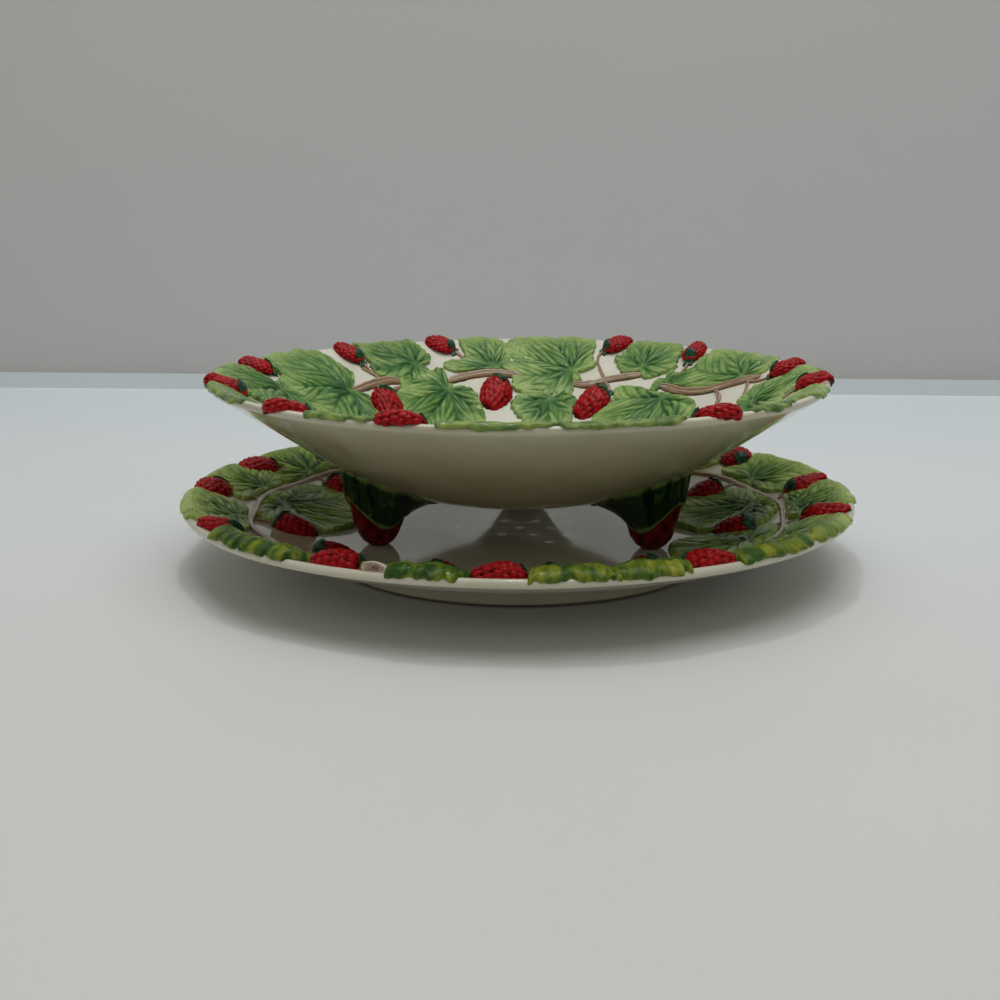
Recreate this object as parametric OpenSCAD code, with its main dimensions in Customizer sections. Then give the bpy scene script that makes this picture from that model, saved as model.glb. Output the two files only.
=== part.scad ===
// A footed berry colander bowl on its matching underplate, in glazed earthenware.
// Millimetres, +Z up. The underplate stands on z = 0 and both dishes are round about the Z axis.
// The relief leaves, berries and vines are separate sprigs that lie on the two dishes.

/* [Bowl] */
// Diameter of the bowl over its rim
bowl_d = 280; // [240:1:320]
// Height of the inner rim edge over the inside of the floor
bowl_rise = 47.5; // [40:0.5:56]
// Radius of the flat floor inside the bowl
bowl_floor_r = 42; // [38:1:48]
// Thickness of the bowl's floor
bowl_wall = 5.5; // [4.5:0.1:6.5]
// Thickness of the bowl's wall at its rim
bowl_rim_wall = 3.8; // [3:0.1:4.5]
// Depth of the slow wave in the bowl's wall between floor and rim
bowl_swell = 1.3; // [0:0.1:2]

/* [Drain holes] */
// Diameter of one drain hole
hole_d = 4; // [3:0.5:5]
// Distance between one drain hole and the next
hole_pitch = 14.5; // [12:0.5:17]
// Number of six-sided rings of holes round the middle hole
hole_rings = 2; // [1:1:2]

/* [Berry feet] */
// Radius of the circle that the three feet stand on
feet_circle_r = 70; // [64:1:76]
// Height of the bowl's outer floor over the underplate's well
foot_lift = 19.4; // [17:0.2:22]
// Radius of the flat tip of one berry foot
foot_tip_r = 4; // [3:0.5:5]
// Radius of one berry foot where it meets the bowl
foot_top_r = 14; // [12:0.5:15]
// Thickness of the leaf cap over a berry foot
cap_t = 1.8; // [1.4:0.1:2.4]
// How far the leaf cap spreads under the bowl, past the berry, towards the middle
cap_spread = 13; // [8:0.5:15]

/* [Underplate] */
// Diameter of the underplate over its rim
plate_d = 306.8; // [280:0.2:330]
// Height of the inner rim edge over the well
plate_rise = 17.9; // [14:0.1:22]
// Radius of the flat well
well_r = 80; // [78:1:84]
// Height of the well's surface over the table
well_z = 12.6; // [11:0.1:14]
// Thickness of the underplate's middle
plate_wall = 5; // [4:0.1:6]
// Thickness of the underplate at its rim
plate_rim_wall = 3.8; // [3:0.1:4.5]
// Outer diameter of the foot ring
ring_d = 174.4; // [166:0.2:180]
// Width of the foot ring where it meets the table
ring_w = 6; // [4:0.5:8]

/* [Leaves] */
// Thickness of a leaf at its edge on the bowl
bowl_leaf_t = 2; // [1.5:0.1:2.6]
// Thickness of a leaf at its edge on the underplate
plate_leaf_t = 2.6; // [2:0.1:3.2]
// How much a leaf swells between its edge and its middle
leaf_dome = 1.4; // [0.8:0.1:2]
// How far the underplate's leaves roll up at the rim
leaf_roll = 2.2; // [1:0.1:3]
// Free space between neighbouring leaves
leaf_gap = 0.6; // [0.4:0.1:1.2]

/* [Berries] */
// Length of a berry
berry_l = 21; // [18:0.5:23]
// Width of a berry that hangs or lies in a dish
berry_w = 17; // [14:0.5:18]
// Width of a berry on a rim
rim_berry_w = 14.5; // [12:0.5:17]
// Height of a berry over a dish
berry_rise = 7.4; // [6:0.1:8.4]
// Height of a berry over a rim
rim_berry_rise = 5.6; // [4.6:0.1:8.4]
// Length of the leafy cap at a berry's stalk end
calyx_l = 3.6; // [2.5:0.1:4.5]

/* [Vines] */
// Width of a vine
vine_w = 3.6; // [3:0.1:5]
// Height of a vine over the dish
vine_h = 2.5; // [2:0.1:3.5]
// Width of a thin stalk
stalk_w = 2.3; // [2:0.1:3.2]

/* [Rims] */
// Radius of a notch in a rim
notch_r = 18; // [14:0.5:24]
// Depth of a notch in a rim
notch_depth = 1.5; // [0.8:0.1:2]

/* [Fits] */
// Clearance between a sprig and the dish under it
seat_gap = 0.15; // [0.1:0.05:0.3]
// Clearance of a leaf cap from its berry foot and from the bowl
cap_gap = 0.35; // [0.25:0.05:0.4]
// Free space between a vine and the leaves
vine_space = 1.2; // [0.8:0.1:1.6]
// Free space round a berry in the leaves
berry_space = 1.8; // [1.6:0.1:2.4]

/* [Hidden] */
$fn = 96;

bowl_r = bowl_d / 2;
plate_r = plate_d / 2;
bowl_under_z = well_z + foot_lift;
bowl_floor_z = bowl_under_z + bowl_wall;
cut_over = bowl_wall;

// The wall's curve climbs as a power of the way from floor to rim
bowl_power_share = 1.38;
plate_power_share = 1.45;
// How far inside its outermost edge the wall's inner edge lies, in walls
bowl_lip_share = 0.76;
plate_lip_share = 0.68;
bowl_edge_r = bowl_r - bowl_lip_share * bowl_rim_wall;
plate_edge_r = plate_r - plate_lip_share * plate_rim_wall;

// The way from the flat middle to the rim edge, from 0 to 1
function way(r, flat_r, edge_r) = max(0, (r - flat_r) / (edge_r - flat_r));
// Height of the bowl's inner surface at a radius
function bowl_top(r) =
    let (s = way(r, bowl_floor_r, bowl_edge_r))
    bowl_floor_z + bowl_rise * pow(s, bowl_power_share)
        - bowl_swell * sin(360 * min(s, 1));
// Height of the underplate's upper surface at a radius
function plate_top(r) =
    well_z + plate_rise * pow(way(r, well_r, plate_edge_r), plate_power_share);
function top_z(on_bowl, r) = on_bowl ? bowl_top(r) : plate_top(r);
// Slope of a dish in degrees, and the point that lies a depth under its surface
slope_step = bowl_r / 1000;
function slope(on_bowl, r) =
    atan((top_z(on_bowl, r + slope_step) - top_z(on_bowl, r - slope_step)) / (2 * slope_step));
function under(on_bowl, r, depth) =
    [r + depth * sin(slope(on_bowl, r)), top_z(on_bowl, r) - depth * cos(slope(on_bowl, r))];
function polar(r, a) = [r * cos(a), r * sin(a)];

// Wall sections as closed outlines of radius and height. The wall thins towards the rim.
wall_steps = 14;
lip_steps = 6;
function flat_r(on_bowl) = on_bowl ? bowl_floor_r : well_r;
function edge_r(on_bowl) = on_bowl ? bowl_edge_r : plate_edge_r;
function middle_t(on_bowl) = on_bowl ? bowl_wall : plate_wall;
function rim_t(on_bowl) = on_bowl ? bowl_rim_wall : plate_rim_wall;
function wall_t(on_bowl, r) =
    let (s = way(r, flat_r(on_bowl), edge_r(on_bowl)))
    middle_t(on_bowl) + (rim_t(on_bowl) - middle_t(on_bowl)) * s * s;
function station(on_bowl, i) =
    flat_r(on_bowl) + (edge_r(on_bowl) - flat_r(on_bowl)) * i / wall_steps;
function under_edge(on_bowl, grow) = concat(
    [[flat_r(on_bowl), top_z(on_bowl, 0) - middle_t(on_bowl) - grow]],
    [for (i = [1 : wall_steps]) let (r = station(on_bowl, i)) under(on_bowl, r, wall_t(on_bowl, r) + grow)]);
function lip(on_bowl, grow) =
    let (e = edge_r(on_bowl), mid = under(on_bowl, e, rim_t(on_bowl) / 2), a = slope(on_bowl, e))
    [for (i = [1 : lip_steps - 1])
        mid + polar(rim_t(on_bowl) / 2 + grow, a - 90 + 180 * i / lip_steps)];
function upper_edge(on_bowl, grow) = concat(
    [for (i = [wall_steps : -1 : 1]) under(on_bowl, station(on_bowl, i), -grow)],
    [[flat_r(on_bowl), top_z(on_bowl, 0) + grow]]);
// A dish in section, grown by a gap all round
function wall_section(on_bowl, grow) = concat(
    [[0, top_z(on_bowl, 0) - middle_t(on_bowl) - grow]],
    under_edge(on_bowl, grow),
    lip(on_bowl, grow),
    upper_edge(on_bowl, grow),
    [[0, top_z(on_bowl, 0) + grow]]);
module dish(on_bowl, grow) { rotate_extrude(convexity = 6) polygon(wall_section(on_bowl, grow)); }

// Places on the bowl, in degrees round the dish and in shares of the rim's radius.
// A leaf: azimuth, radius of its stalk end, heading of its tip from outward, length, width.
bowl_leaf_shares = [
    [146, 0.757, 80, 0.33, 1.0], [170, 0.83, 75, 0.27, 1.0], [203, 0.81, 60, 0.29, 1.05],
    [237, 0.81, 60, 0.24, 1.05], [263, 0.80, 70, 0.28, 1.05], [283, 0.80, 70, 0.29, 1.05],
    [316, 0.80, 70, 0.25, 1.1], [336, 0.81, 70, 0.24, 1.05], [9, 0.79, -36, 0.27, 1.0],
    [27, 0.87, 88, 0.26, 1.0], [59, 0.85, -5, 0.17, 1.15], [49, 0.80, -110, 0.12, 1.1],
    [78, 0.81, 72, 0.28, 1.0], [99, 0.83, 65, 0.20, 1.0], [120, 0.85, 71, 0.23, 0.95],
    [114, 0.715, 126, 0.27, 0.95], [82, 0.665, 173, 0.15, 1.2], [45, 0.715, 175, 0.28, 1.1],
    [346, 0.70, 150, 0.27, 1.05], [303, 0.70, 150, 0.27, 1.05], [259, 0.70, 150, 0.26, 1.05],
    [213, 0.70, 150, 0.27, 1.05], [170, 0.68, 170, 0.19, 1.15]
];
// A berry: azimuth, radius of its middle, heading of its tip from outward
bowl_rim_berry_shares = [
    [16.5, 0.955, -20], [48.5, 0.955, 10], [68.5, 0.96, -35], [111.5, 0.95, 40], [135.5, 0.94, 15],
    [166.5, 0.95, 40], [194, 0.945, -15], [230, 0.955, -40], [253.5, 0.96, -65], [307, 0.96, 55],
    [355.5, 0.955, -35]
];
bowl_hanging_berry_shares = [
    [138, 0.66, 150], [100, 0.68, 147], [68, 0.645, 148], [15, 0.65, 150],
    [324, 0.64, 150], [281, 0.64, 150], [236, 0.64, 150], [190, 0.66, 150]
];
// A vine: its points as azimuth and radius
bowl_vine_shares = [
    [[143, 0.762], [137, 0.772], [131, 0.782], [128, 0.777]],
    [[112, 0.762], [106, 0.782], [100, 0.792], [94, 0.782]],
    [[75, 0.742], [71, 0.742], [66, 0.775], [60, 0.80]],
    [[48, 0.765], [40, 0.757], [33, 0.78], [28, 0.825], [24, 0.865]],
    [[350, 0.762], [336, 0.768], [322, 0.764], [308, 0.768], [294, 0.762], [280, 0.766],
        [266, 0.762], [252, 0.768], [238, 0.764], [224, 0.768], [210, 0.762], [200, 0.77],
        [191, 0.785], [184, 0.785]]
];
bowl_stalk_shares = [
    [[133, 0.815], [134, 0.835]], [[129, 0.745], [132, 0.735]], [[26, 0.765], [23, 0.73]]
];

// The same on the underplate, in shares of its own rim's radius
plate_leaf_shares = [
    [150, 0.838, 0, 0.195, 1.3], [169, 0.838, 8, 0.195, 1.1], [196, 0.838, 5, 0.195, 1.3],
    [228, 0.838, 5, 0.195, 1.35], [257, 0.838, 3, 0.195, 1.1], [280, 0.838, 3, 0.195, 1.1],
    [292, 0.838, -3, 0.195, 1.0], [315, 0.838, 5, 0.195, 1.25], [333, 0.838, 3, 0.195, 1.2],
    [0, 0.838, 0, 0.195, 1.1], [26, 0.838, 0, 0.195, 1.35], [53, 0.838, 3, 0.195, 1.2],
    [81, 0.838, 3, 0.195, 1.2], [97, 0.838, 0, 0.195, 1.2], [124, 0.838, 3, 0.195, 1.35],
    [175, 0.74, 182, 0.235, 1.4], [10, 0.74, 178, 0.235, 1.4], [334, 0.74, 175, 0.20, 1.3],
    [62, 0.74, 180, 0.22, 1.3], [103, 0.74, 180, 0.22, 1.3]
];
plate_rim_berry_shares = [
    [159.5, 0.935, 60], [181, 0.94, 70], [212, 0.935, -50], [244, 0.935, -70], [269.5, 0.935, -60],
    [303, 0.935, 60], [347.5, 0.92, -15], [12, 0.92, 12], [40, 0.935, 60], [67, 0.935, -60],
    [110, 0.935, 65], [138, 0.935, -60]
];
plate_inner_berry_shares = [
    [150, 0.68, 175], [196, 0.67, 160], [226, 0.68, 170], [256, 0.68, 175], [279, 0.68, 180],
    [301, 0.68, 185], [351, 0.65, 160], [30, 0.68, 175], [83, 0.68, 180], [126, 0.68, 175]
];
// Radius of the underplate's ring of vine, with its wave
plate_vine_share = 0.8;
plate_vine_wave_share = 0.006;
plate_vine_waves = 13;

// Berries with their caps as ellipses in plan that the leaves keep clear of
function wide_berry(on_rim) = on_rim ? rim_berry_w : berry_w;
spot_back = 0.8 * calyx_l;
spot_half_l = berry_l / 2 + calyx_l / 2 + berry_space;
function berry_spots(berries, rim_r, on_rim) = [for (b = berries)
    let (mid = polar(b[1] * rim_r, b[0]), back = polar(-spot_back, b[0] + b[2]))
    [mid + back, b[0] + b[2], spot_half_l, wide_berry(on_rim) / 2 + berry_space]];
bowl_spots = concat(berry_spots(bowl_rim_berry_shares, bowl_r, true),
    berry_spots(bowl_hanging_berry_shares, bowl_r, false));
plate_spots = concat(berry_spots(plate_rim_berry_shares, plate_r, true),
    berry_spots(plate_inner_berry_shares, plate_r, false));

// A smooth route through hand-placed points, as points in plan. The leaves keep clear of closer
// points on the same route.
vine_steps = 4;
dot_steps = 12;
function soft(a, b, c, d, t) =
    b + (c - a) * t / 2 + (2 * a - 5 * b + 4 * c - d) * t * t / 2
        + (3 * (b - c) + d - a) * t * t * t / 2;
function route(points, rim_r, steps) =
    let (n = len(points), p = [for (q = points) polar(q[1] * rim_r, q[0])])
    concat([for (i = [0 : n - 2]) for (k = [0 : steps - 1])
        soft(p[max(i - 1, 0)], p[i], p[i + 1], p[min(i + 2, n - 1)], k / steps)],
        [p[n - 1]]);
bowl_dots = [for (v = concat(bowl_vine_shares, bowl_stalk_shares))
    for (p = route(v, bowl_r, dot_steps)) p];
plate_vine_stations = 90;
function plate_vine(stations) = [for (i = [0 : stations - 1])
    let (a = 360 * i / stations)
    polar(plate_r * (plate_vine_share + plate_vine_wave_share * sin(plate_vine_waves * a)), a)];
plate_dots = plate_vine(plate_vine_stations * vine_steps);

// Leaf outlines in plan. A leaf reaches out from its stalk end until it meets its own natural
// edge, a neighbour's border, a berry, a vine or the rim.
leaf_spokes = 30;
leaf_lobes = 5;
lobe_depth_share = 0.07;
heart_depth_share = 0.55;
heart_angle = 22;
side_reach_share = 0.62;
leaf_middle_share = 0.3;
march_share = 1 / 30;
halvings = 5;
rim_inset = 1.2;
function leaf_middle(l, rim_r) =
    polar(l[1] * rim_r, l[0]) + polar(leaf_middle_share * l[3] * rim_r, l[0] + l[2]);
function natural(th, len, wide) =
    let (lobe = 1 - lobe_depth_share * (1 - cos(leaf_lobes * th)),
        heart = 1 - heart_depth_share * exp(-pow((th - 180) / heart_angle, 2)),
        reach = side_reach_share + (1 - side_reach_share) * cos(th))
    len * reach * lobe * heart * sqrt(pow(cos(th), 2) + pow(wide * sin(th), 2));
function border(a, b, rim_r) =
    let (p = leaf_middle(a, rim_r), q = leaf_middle(b, rim_r), n = (q - p) / norm(q - p))
    [p + (q - p) * a[3] / (a[3] + b[3]), n];
function near(l, leaves, rim_r) = [for (o = leaves)
    if (o != l && norm(leaf_middle(o, rim_r) - leaf_middle(l, rim_r)) < (o[3] + l[3]) * rim_r)
        border(l, o, rim_r)];
function in_spot(p, s) =
    let (d = p - s[0], u = d * polar(1, s[1]), v = d * polar(1, s[1] + 90))
    pow(u / s[2], 2) + pow(v / s[3], 2) < 1;
function free(p, walls, spots, dots, out_r, dot_r) =
    norm(p) < out_r
    && len([for (w = walls) if ((p - w[0]) * w[1] > -leaf_gap / 2) 1]) == 0
    && len([for (s = spots) if (in_spot(p, s)) 1]) == 0
    && len([for (d = dots) if (norm(p - d) < dot_r) 1]) == 0;
function march(o, d, t, step, full, w, s, v, out_r, dot_r) =
    t + step > full ? full
    : free(o + d * (t + step), w, s, v, out_r, dot_r)
        ? march(o, d, t + step, step, full, w, s, v, out_r, dot_r)
        : halve(o, d, t, step / 2, halvings, w, s, v, out_r, dot_r);
function halve(o, d, t, step, left, w, s, v, out_r, dot_r) =
    left == 0 ? t
    : halve(o, d, free(o + d * (t + step), w, s, v, out_r, dot_r) ? t + step : t,
        step / 2, left - 1, w, s, v, out_r, dot_r);
function outline(l, leaves, rim_r, spots, dots, dot_r) =
    let (o = polar(l[1] * rim_r, l[0]), len = l[3] * rim_r, w = near(l, leaves, rim_r),
        s = [for (q = spots) if (norm(q[0] - o) < len + q[2]) q],
        v = [for (q = dots) if (norm(q - o) < len + dot_r) q])
    [for (i = [0 : leaf_spokes - 1])
        let (th = 360 * i / leaf_spokes, full = natural(th, len, l[4]),
            d = polar(1, l[0] + l[2] + th))
        march(o, d, 0, len * march_share, full, w, s, v, rim_r - rim_inset, dot_r)];

// A leaf solid: rings of points round the stalk end, on the dish below and domed above
top_ring_shares = [0.6, 1];
under_ring_shares = [0.5, 1];
roll_from_share = 0.86;
function ring_of(o, turn, reach, k) =
    [for (i = [0 : leaf_spokes - 1]) o + polar(reach[i] * k, turn + 360 * i / leaf_spokes)];
function lift(on_bowl, p, edge_t, k, rim_r) =
    let (r = norm(p), roll = on_bowl ? 0 : max(0, (r / rim_r - roll_from_share) / (1 - roll_from_share)),
        over = edge_t + leaf_dome * (1 - k * k) + leaf_roll * roll * (2 - roll))
    [p[0], p[1], top_z(on_bowl, r) + seat_gap + over];
function seat(on_bowl, p) = [p[0], p[1], top_z(on_bowl, norm(p)) + seat_gap];
module leaf_solid(on_bowl, l, reach, rim_r, edge_t) {
    n = leaf_spokes;
    o = polar(l[1] * rim_r, l[0]);
    turn = l[0] + l[2];
    tops = [for (k = top_ring_shares) for (p = ring_of(o, turn, reach, k))
        lift(on_bowl, p, edge_t, k, rim_r)];
    unders = [for (k = under_ring_shares) for (p = ring_of(o, turn, reach, k)) seat(on_bowl, p)];
    points = concat([lift(on_bowl, o, edge_t, 0, rim_r)], tops, [seat(on_bowl, o)], unders);
    last_top = len(top_ring_shares) - 1;
    last_under = len(under_ring_shares) - 1;
    t0 = 1;
    u_mid = 1 + n * len(top_ring_shares);
    u0 = u_mid + 1;
    faces = concat(
        [for (i = [0 : n - 1]) [0, t0 + (i + 1) % n, t0 + i]],
        [for (k = [0 : last_top - 1]) for (i = [0 : n - 1]) each
            band(t0 + k * n, t0 + (k + 1) * n, i, n)],
        [for (i = [0 : n - 1]) each band(t0 + last_top * n, u0 + last_under * n, i, n)],
        [for (k = [0 : last_under - 1]) for (i = [0 : n - 1]) each
            band(u0 + (k + 1) * n, u0 + k * n, i, n)],
        [for (i = [0 : n - 1]) [u_mid, u0 + i, u0 + (i + 1) % n]]);
    polyhedron(points, faces);
}
// Two triangles between the edges a-b and c-d, or between two rings that start at a and b
function quad(a, b, c, d) = [[a, b, d], [a, d, c]];
function band(a, b, i, n) = quad(a + i, a + (i + 1) % n, b + i, b + (i + 1) % n);

// A vine lying on a dish, as a tube with a flat back
tube_sides = 6;
tube_shape_shares = [[-0.5, 0], [-0.5, 0.45], [-0.25, 1], [0.25, 1], [0.5, 0.45], [0.5, 0]];
function unit(v) = v / norm(v);
module tube(on_bowl, path, w, h, closed) {
    n = len(path);
    m = tube_sides;
    points = [for (i = [0 : n - 1])
        let (a = path[closed ? (i + n - 1) % n : max(i - 1, 0)],
            b = path[closed ? (i + 1) % n : min(i + 1, n - 1)],
            d = unit(b - a), side = [d[1], -d[0]], q = path[i])
        for (s = tube_shape_shares)
            let (p = q + side * s[0] * w)
            [p[0], p[1], top_z(on_bowl, norm(p)) + seat_gap + s[1] * h]];
    joins = closed ? n - 1 : n - 2;
    sides = [for (i = [0 : joins]) for (k = [0 : m - 1]) each band((i + 1) % n * m, i * m, k, m)];
    ends = closed ? [] : concat(
        [for (k = [1 : m - 2]) [0, k, k + 1]],
        [for (k = [1 : m - 2]) [(n - 1) * m, (n - 1) * m + k + 1, (n - 1) * m + k]]);
    polyhedron(points, concat(sides, ends));
}

// A berry lies on its side, half sunk, and its outline in plan is an egg with its blunt end at
// the stalk. On a rim it lies flatter than the wall. A ring is a share of the outline and one of
// the height, and the lowest ring lies on the dish.
berry_sides = 16;
egg_taper_share = 0.22;
berry_ring_shares = [[0.86, 0], [1, 0.34], [0.74, 0.8], [0.38, 0.97]];
rim_tilt_share = 0.45;
function egg(th, on_rim) =
    [berry_l / 2 * cos(th), wide_berry(on_rim) / 2 * sin(th) * (1 - egg_taper_share * cos(th))];
function turned(p, a) = [p[0] * cos(a) - p[1] * sin(a), p[0] * sin(a) + p[1] * cos(a)];
function rim_of(on_bowl) = on_bowl ? bowl_r : plate_r;
function placed(on_bowl, b, p) = polar(b[1] * rim_of(on_bowl), b[0]) + turned(p, b[0] + b[2]);
// A point on the dish, moved in from outside the rim edge
function seated(on_bowl, p) = seat(on_bowl, p * min(1, edge_r(on_bowl) / norm(p)));
// A point at a height over the dish, or on a rim over a plane through the berry's middle
function crown(on_bowl) = rim_t(on_bowl) / 2 * (1 - cos(slope(on_bowl, edge_r(on_bowl))));
function over_dish(on_bowl, r) =
    top_z(on_bowl, min(r, edge_r(on_bowl))) + (r > edge_r(on_bowl) ? crown(on_bowl) : 0);
function laid(on_bowl, b, p, h, on_rim) =
    let (r = norm(p), low = over_dish(on_bowl, r), mid_r = b[1] * rim_of(on_bowl),
        tilt = slope(on_bowl, mid_r) * rim_tilt_share,
        plane = top_z(on_bowl, mid_r) + tan(tilt) * (r - mid_r))
    [p[0], p[1], seat_gap + (on_rim ? max(plane + h, low + h / 2) : low + h)];
module berry(on_bowl, b, rise, on_rim) {
    n = berry_sides;
    middle = placed(on_bowl, b, [0, 0]);
    rings = [for (k = berry_ring_shares) for (i = [0 : n - 1])
        let (p = placed(on_bowl, b, k[0] * egg(360 * i / n, on_rim)))
        k[1] == 0 ? seated(on_bowl, p) : laid(on_bowl, b, p, k[1] * rise, on_rim)];
    points = concat([seated(on_bowl, middle)], rings, [laid(on_bowl, b, middle, rise, on_rim)]);
    top = len(points) - 1;
    last = len(berry_ring_shares) - 1;
    faces = concat(
        [for (i = [0 : n - 1]) [0, 1 + i, 1 + (i + 1) % n]],
        [for (k = [0 : last - 1]) for (i = [0 : n - 1]) each band(1 + (k + 1) * n, 1 + k * n, i, n)],
        [for (i = [0 : n - 1]) [top, 1 + last * n + (i + 1) % n, 1 + last * n + i]]);
    polyhedron(points, faces);
}
// The leafy cap is a toothed crescent behind the berry's blunt end
cap_tooth_shares = [0.4, 0.6, 1, 0.6, 0.4];
cap_inner_rise_share = 0.5;
cap_outer_rise_share = 0.25;
module calyx(on_bowl, b, rise, on_rim) {
    m = 4;
    last = len(cap_tooth_shares) - 1;
    turn = 360 / berry_sides;
    near_share = 1 + 2 * seat_gap / wide_berry(on_rim);
    points = [for (i = [0 : last])
        let (e = egg(180 + (i - last / 2) * turn, on_rim),
            p = placed(on_bowl, b, e * near_share),
            q = placed(on_bowl, b, e * (near_share + cap_tooth_shares[i] * calyx_l / norm(e))))
        each [seated(on_bowl, p), seated(on_bowl, q),
            laid(on_bowl, b, q, rise * cap_outer_rise_share, false),
            laid(on_bowl, b, p, rise * cap_inner_rise_share, on_rim)]];
    faces = concat(
        [for (i = [0 : last - 1]) for (k = [0 : m - 1]) each band(i * m, (i + 1) * m, k, m)],
        [for (k = [1 : m - 2]) [0, k + 1, k]],
        [for (k = [1 : m - 2]) [last * m, last * m + k, last * m + k + 1]]);
    polyhedron(points, faces);
}

// A berry foot stands on its tip. Its radius at a share of its height.
foot_profile_shares = [[0, 0.29], [0.08, 0.5], [0.2, 0.66], [0.4, 0.79], [0.7, 0.91], [1, 1]];
foot_h = bowl_top(feet_circle_r) - bowl_wall - well_z;
function foot_r(share) = lookup(share, foot_profile_shares) * foot_top_r;
foot_turn = 120;
first_foot = -30;
module foot_place(k) {
    rotate([0, 0, first_foot + k * foot_turn]) translate([feet_circle_r, 0, 0]) children();
}
// The bowl's underside as a solid of all that is over it, let down by a gap
module over_bowl(gap) {
    high = bowl_top(bowl_edge_r);
    rotate_extrude()
        polygon(concat([[0, bowl_under_z - gap]], under_edge(true, gap), [[bowl_r, high], [0, high]]));
}

module bowl_body() {
    color("ivory")
        difference() {
            dish(true, 0);
            for (j = [-hole_rings : hole_rings])
                for (i = [max(-hole_rings, -hole_rings - j) : min(hole_rings, hole_rings - j)])
                    translate([(i + j / 2) * hole_pitch, j * hole_pitch * sin(60), bowl_under_z - cut_over])
                        cylinder(d = hole_d, h = bowl_wall + 2 * cut_over, $fn = 24);
            notches(bowl_rim_berry_shares, bowl_r, bowl_under_z);
        }
}
// Notches beside the rim berries, that many degrees round from each
notch_turn = 8;
module notches(berries, rim_r, low) {
    for (b = berries)
        rotate([0, 0, b[0] + notch_turn])
            translate([rim_r - notch_depth + notch_r, 0, low])
                cylinder(r = notch_r, h = bowl_d, $fn = 48);
}

module foot_berry(k) {
    color("darkred")
        difference() {
            foot_place(k)
                translate([0, 0, well_z])
                    rotate_extrude()
                        polygon(concat([[0, 0], [foot_tip_r, 0]],
                            [for (p = foot_profile_shares) if (p[0] > 0) [foot_r(p[0]), p[0] * foot_h]],
                            [[foot_top_r, 2 * foot_h], [0, 2 * foot_h]]));
            over_bowl(seat_gap);
        }
}

// A leaf cap hangs from the bowl round the berry foot. Outside it is high and hugs the berry, and
// it is low at its flanks and spreads out towards the bowl's middle.
cap_spokes = 30;
cap_low_share = 0.32;
cap_high_share = 0.79;
cap_top_share = 0.92;
cap_inner_share = 0.75;
cap_lobes = 3;
cap_lobe_share = 0.12;
cap_outer_spread_share = 0.08;
cap_spread_power = 1.8;
cap_rows = 7;
cap_edge_t = 1.2 * cap_t;
cap_neck_t = 1.3 * cap_t;
cap_bend = 1.5 * cap_t;
function cap_foot(th) =
    let (flank = pow(sin(th), 2), inner = (1 - cos(th)) / 2)
    cap_high_share - (cap_high_share - cap_low_share) * max(flank, cap_inner_share * inner);
function cap_reach(th) =
    let (lobe = 1 - cap_lobe_share * (1 - cos(cap_lobes * th)),
        inward = cap_outer_spread_share
            + (1 - cap_outer_spread_share) * pow(min(1, 1 - cos(th)), cap_spread_power))
    foot_top_r + cap_t + cap_spread * lobe * inward;
function under_bowl(x, y) =
    let (r = norm([feet_circle_r + x, y]))
    lookup(r, concat([[0, bowl_under_z]], under_edge(true, 0))) - cap_gap;
function cap_cut(th) =
    let (low = cap_foot(th),
        rim = cap_reach(th),
        neck = foot_top_r + cap_gap,
        half = (neck + rim) / 2,
        outer = half + cap_t / 2,
        c = cos(th), s = sin(th),
        neck_z = under_bowl(neck * c, neck * s),
        top = min(cap_top_share, (neck_z - cap_bend - well_z) / foot_h),
        inner = [for (i = [0 : cap_rows])
            let (h = low + (top - low) * i / cap_rows) [foot_r(h) + cap_gap, well_z + h * foot_h]])
    concat([inner[0] + [cap_t, 0]], inner,
        [[neck, neck_z], [half, under_bowl(half * c, half * s)], [rim, under_bowl(rim * c, rim * s)],
            [outer, under_bowl(outer * c, outer * s) - cap_edge_t],
            [foot_r(top) + cap_neck_t, well_z + top * foot_h]]);
module foot_leaf(k) {
    n = cap_spokes;
    cuts = [for (i = [0 : n - 1]) cap_cut(360 * i / n)];
    m = len(cuts[0]);
    points = [for (i = [0 : n - 1]) for (p = cuts[i])
        [p[0] * cos(360 * i / n), p[0] * sin(360 * i / n), p[1]]];
    faces = [for (i = [0 : n - 1]) for (q = [0 : m - 1]) each band((i + 1) % n * m, i * m, q, m)];
    color("darkgreen") foot_place(k) polyhedron(points, faces);
}

module underplate_body() {
    ring_r = ring_d / 2;
    ring_flare = ring_w / 4;
    ring_top = well_z - plate_wall / 2;
    color("ivory")
        difference() {
            union() {
                dish(false, 0);
                rotate_extrude(convexity = 4)
                    polygon([[ring_r - ring_w, 0], [ring_r, 0], [ring_r + ring_flare, ring_top],
                        [ring_r - ring_w - ring_flare, ring_top]]);
            }
            notches(plate_rim_berry_shares, plate_r, 0);
        }
}

module bowl_leaf(i) {
    l = bowl_leaf_shares[i];
    reach = outline(l, bowl_leaf_shares, bowl_r, bowl_spots, bowl_dots, vine_w / 2 + vine_space);
    color("seagreen") leaf_solid(true, l, reach, bowl_r, bowl_leaf_t);
}
module plate_leaf(i) {
    l = plate_leaf_shares[i];
    reach = outline(l, plate_leaf_shares, plate_r, plate_spots, plate_dots, vine_w / 2 + vine_space);
    color("olivedrab") leaf_solid(false, l, reach, plate_r, plate_leaf_t);
}
module bowl_vine() {
    color("tan") {
        for (v = bowl_vine_shares)
            tube(true, route(v, bowl_r, vine_steps), vine_w, vine_h, false);
        for (v = bowl_stalk_shares)
            tube(true, route(v, bowl_r, vine_steps), stalk_w, stalk_w * vine_h / vine_w, false);
    }
}
module underplate_vine() {
    color("tan") tube(false, plate_vine(plate_vine_stations), vine_w, vine_h, true);
}
module bowl_rim_berries() {
    color("crimson") for (b = bowl_rim_berry_shares) berry(true, b, rim_berry_rise, true);
}
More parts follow.
